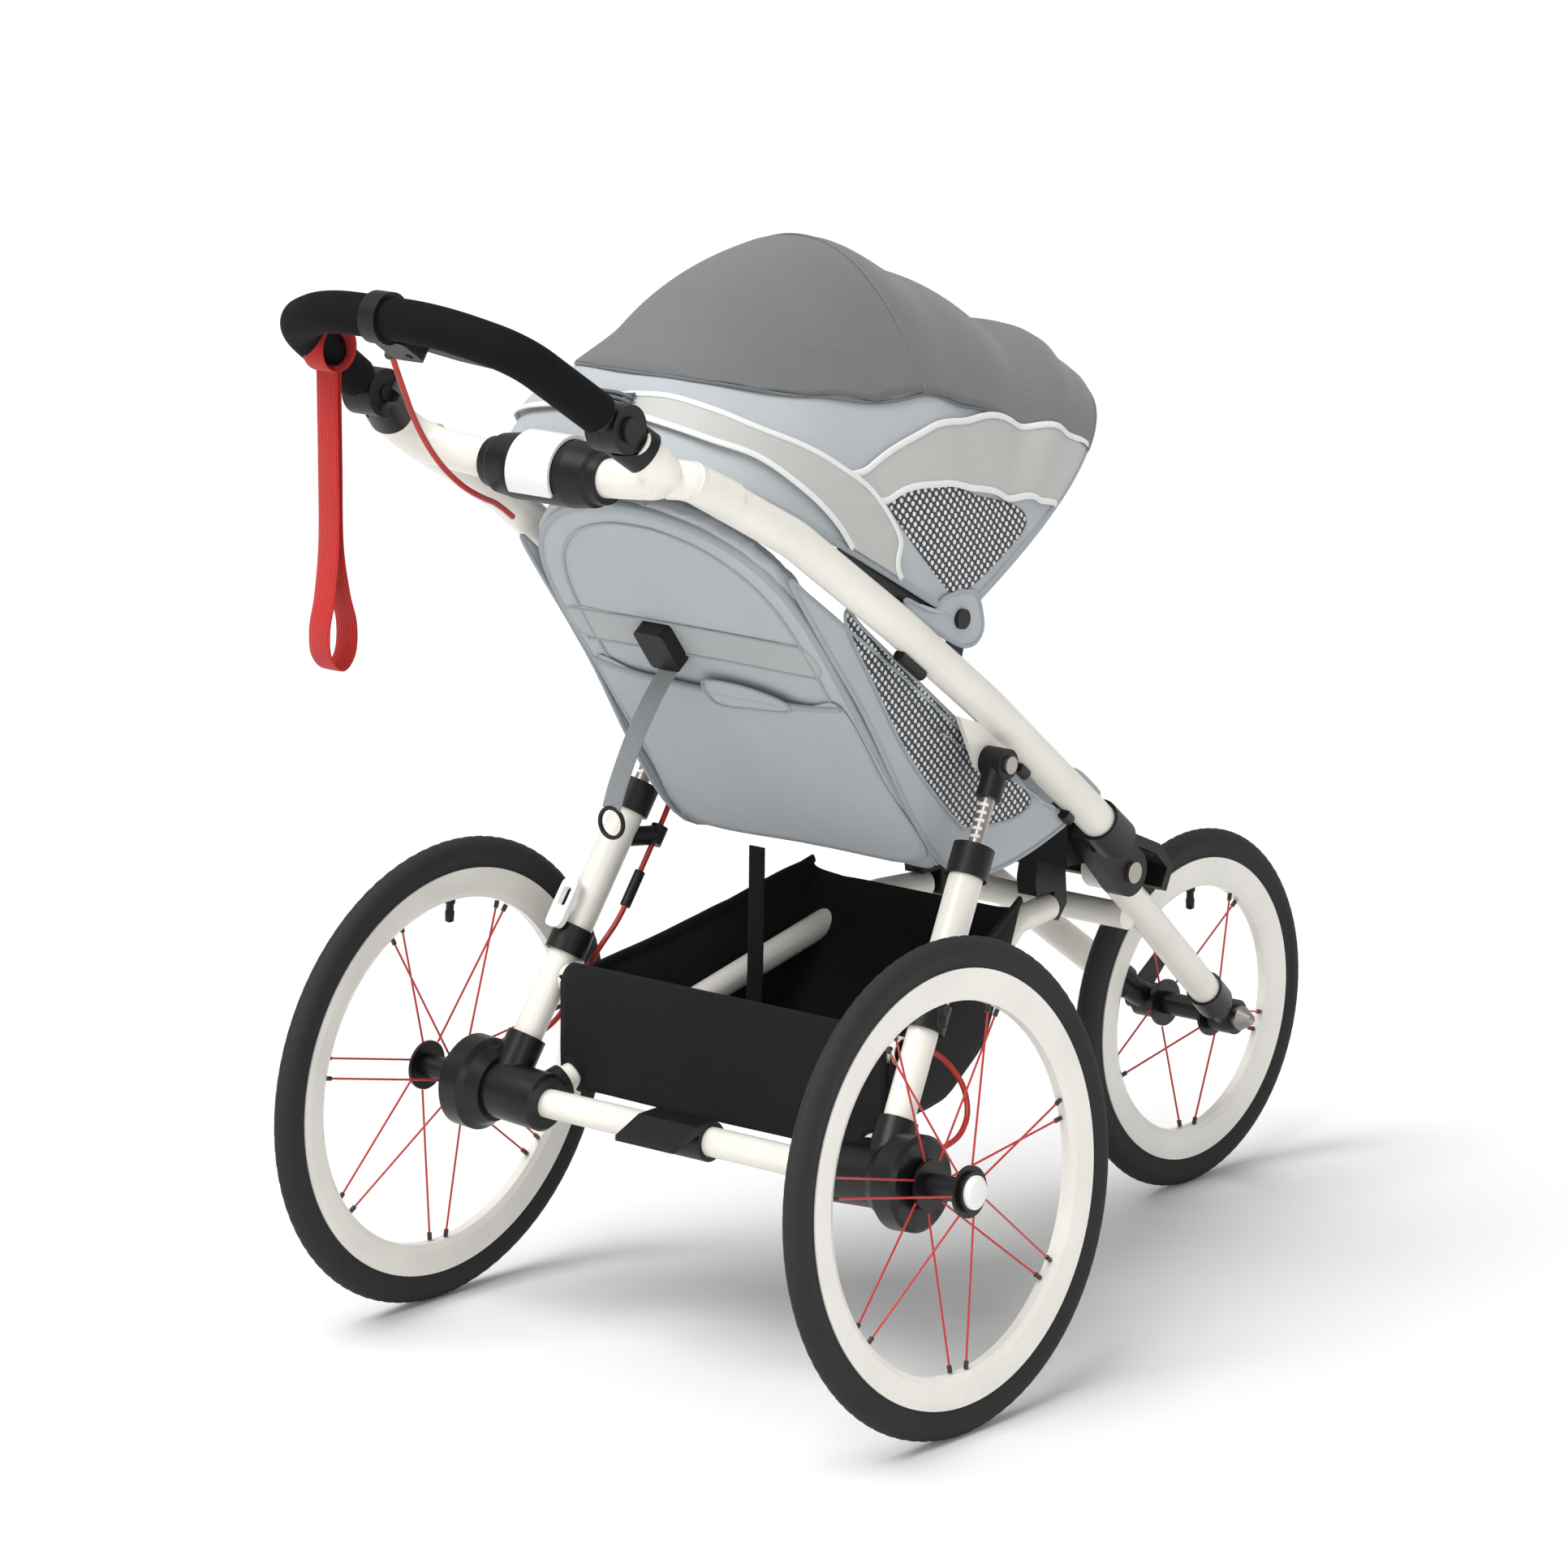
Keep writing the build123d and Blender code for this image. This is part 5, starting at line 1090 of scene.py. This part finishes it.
def tyre(node, joint, body, radius):
    """A tyre with a shallow tread of slanted grooves, over the CAD tyre's own section."""
    centre = Vector(JOINTS[joint]["pos_m"])
    axle = Vector(JOINTS[joint]["axis"]).normalized()
    up = Vector((0, 0, 1))
    up = (up - axle * up.dot(axle)).normalized()
    ahead = axle.cross(up)
    section = []
    for step in range(25):
        turned = radians(-118 + 236 * step / 24)
        section.append((0.0104 * sin(turned), radius - 0.0130 + 0.0130 * cos(turned)))
    section = [(-0.0072, radius - 0.0300)] + section + [(0.0072, radius - 0.0300)]
    rows = []
    for step in range(TREAD_STEPS + 1):
        angle = 2 * pi * (step % TREAD_STEPS) / TREAD_STEPS
        out = up * cos(angle) + ahead * sin(angle)
        row = []
        for across, reach in section:
            slant = (step / TREAD_STEPS * 90 + abs(across) * 60) % 1.0
            crown = max(0.0, (reach - radius + 0.007) / 0.007)
            groove = 0.0006 if slant < 0.35 else 0.0
            rib = 0.0005 * (1 if abs(across) % 0.0035 > 0.0028 else 0)
            row.append(centre + axle * across + out * (reach - crown * (groove + rib)))
        rows.append(row)
    made = grid(f"{node}_tread", rows, RUBBER)
    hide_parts(node)
    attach(made, body)


def valve(name, joint, body, reach):
    """A black valve stem that points at the hub."""
    centre = Vector(JOINTS[joint]["pos_m"])
    axle = Vector(JOINTS[joint]["axis"]).normalized()
    up = Vector((0, 0, 1))
    up = (up - axle * up.dot(axle)).normalized()
    rows = []
    for depth, radius in (
        (0, 0.0),
        (0, 0.0048),
        (0.004, 0.0048),
        (0.005, 0.0037),
        (0.011, 0.0037),
        (0.012, 0.0044),
        (0.021, 0.0041),
        (0.023, 0.0),
    ):
        middle = centre + up * (reach - depth)
        rows.append([middle + (axle * cos(2 * pi * k / 20) + axle.cross(up) * sin(2 * pi * k / 20)) * max(radius, 0.00005) for k in range(20)])
    made = grid(name, rows, PLASTIC, closed=True)
    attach(made, body)


tyre("rear_tyre_right", "rear_spin_right", "wheel_rear_right", 0.220)
tyre("rear_tyre_left", "rear_spin_left", "wheel_rear_left", 0.220)
tyre("front_tyre", "front_spin", "wheel_front", 0.1763)
valve("rear_valve_right", "rear_spin_right", "wheel_rear_right", 0.1643)
valve("rear_valve_left", "rear_spin_left", "wheel_rear_left", 0.1643)
valve("front_valve", "front_spin", "wheel_front", 0.1206)

# ---- scale marks and bolt sockets ----------------------------------------------------------------------
KNUCKLE = at(188, -42, 545)
LEG_FOOT = at(219, -226, 246)
ROD_RADIUS = 0.0072
for word, side in SIDES:
    down = (LEG_FOOT - KNUCKLE).normalized()
    across = down.cross(Vector((1, 0, 0))).normalized()
    beside = across.cross(down).normalized()
    marks = []
    for step in range(5):
        start = KNUCKLE + down * (0.040 + 0.0075 * step)
        rows = []
        for stop in range(9):
            angle = radians(-30 + 85 * stop / 8)
            out = across * cos(angle) + beside * sin(angle)
            row = [start + down * wide + out * ROD_RADIUS for wide in (0.0, 0.001, 0.002, 0.003)]
            rows.append([Vector((side * p.x, p.y, p.z)) for p in row])
        marks.append(grid("mark", rows, WHITE, 0.0003, offset=0.0))
    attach(join(f"strut_marks_{word}", marks), "rear_chassis")

# Painted shade: the socket's walls and floor get a darker, rougher black than the bolt head.
SOCKET_SHADE = smooth_material("bolt_socket", (0.004, 0.004, 0.004), 0.6)


def bolt_face(name, place, axis, radius, body):
    """A bolt's rounded head with a hexagon socket sunk in it, whose inside is painted a darker black as shade."""
    axis = axis.normalized()
    up = axis.orthogonal().normalized()
    side_way = axis.cross(up)
    profile = [
        (1.0, 0.0),
        (0.97, 0.0011),
        (0.86, 0.0018),
        (0.62, 0.0020),
        (0.56, 0.0018),
        (0.54, 0.0004),
        (0.02, 0.0004),
    ]
    rows = []
    for share, height in profile:
        row = []
        for step in range(48):
            angle = 2 * pi * step / 48
            reach = radius * share
            if share < 0.6:
                reach *= cos(pi / 6) / cos((angle + pi / 6) % (pi / 3) - pi / 6)
            row.append(place + axis * height + (up * cos(angle) + side_way * sin(angle)) * reach)
        rows.append(row)
    made = grid(name, rows, BLACK_METAL, closed=True)
    made.data.materials.append(SOCKET_SHADE)
    # The socket's wall and floor faces take the painted shade material.
    for face in made.data.polygons:
        face.material_index = 1 if face.index >= 48 * 4 else 0
    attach(made, body)


for word, side in SIDES:
    handle_low, handle_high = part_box("handlebar_knuckles")
    face = handle_high.x if side > 0 else handle_low.x
    bolt_face(
        f"handle_bolt_{word}",
        Vector((face + side * 0.0002, HANDLE.y, HANDLE.z)),
        Vector((side, 0, 0)),
        0.0085,
        "handlebar",
    )

# ---- stage, light and camera --------------------------------------------------------------------------
FLOOR_SIZE = 60.0
floor = make_object(
    "floor",
    [
        (-FLOOR_SIZE, -FLOOR_SIZE, 0),
        (FLOOR_SIZE, -FLOOR_SIZE, 0),
        (FLOOR_SIZE, FLOOR_SIZE, 0),
        (-FLOOR_SIZE, FLOOR_SIZE, 0),
    ],
    [(0, 1, 2, 3)],
    smooth_material("floor", (0.84, 0.84, 0.84), 0.75, 60.0, 0.0, spread=0.0),
)

world = bpy.data.worlds.new("studio")
world.use_nodes = True
world.node_tree.nodes["Background"].inputs["Color"].default_value = (1, 1, 1, 1)
world.node_tree.nodes["Background"].inputs["Strength"].default_value = 0.52
bpy.context.scene.world = world


def soft_light(name, place, power, size):
    lamp = bpy.data.lights.new(name, "AREA")
    lamp.energy = power
    lamp.size = size
    made = bpy.data.objects.new(name, lamp)
    made.location = place
    made.rotation_mode = "QUATERNION"
    made.rotation_quaternion = (Vector((0, 0, 0.5)) - Vector(place)).to_track_quat("-Z", "Y")
    bpy.context.scene.collection.objects.link(made)


sun = bpy.data.lights.new("key", "SUN")
sun.energy = 2.9
sun.angle = radians(42)
key = bpy.data.objects.new("key", sun)
key.rotation_euler = (radians(28), radians(-6), 0)
bpy.context.scene.collection.objects.link(key)
soft_light("side", (2.6, -2.4, 1.4), 14, 1.6)

CAMERA_YAW = 0.6958
CAMERA_PITCH = 0.2309
lens = bpy.data.cameras.new("camera")
lens.lens = 157.78
lens.sensor_width = 36.0
camera = bpy.data.objects.new("camera", lens)
camera.location = at(3838.7, -4708.7, 1918.0)
camera.rotation_euler = (pi / 2 - CAMERA_PITCH, 0, CAMERA_YAW)
bpy.context.scene.collection.objects.link(camera)
bpy.context.scene.camera = camera
bpy.context.scene.view_settings.view_transform = "Standard"
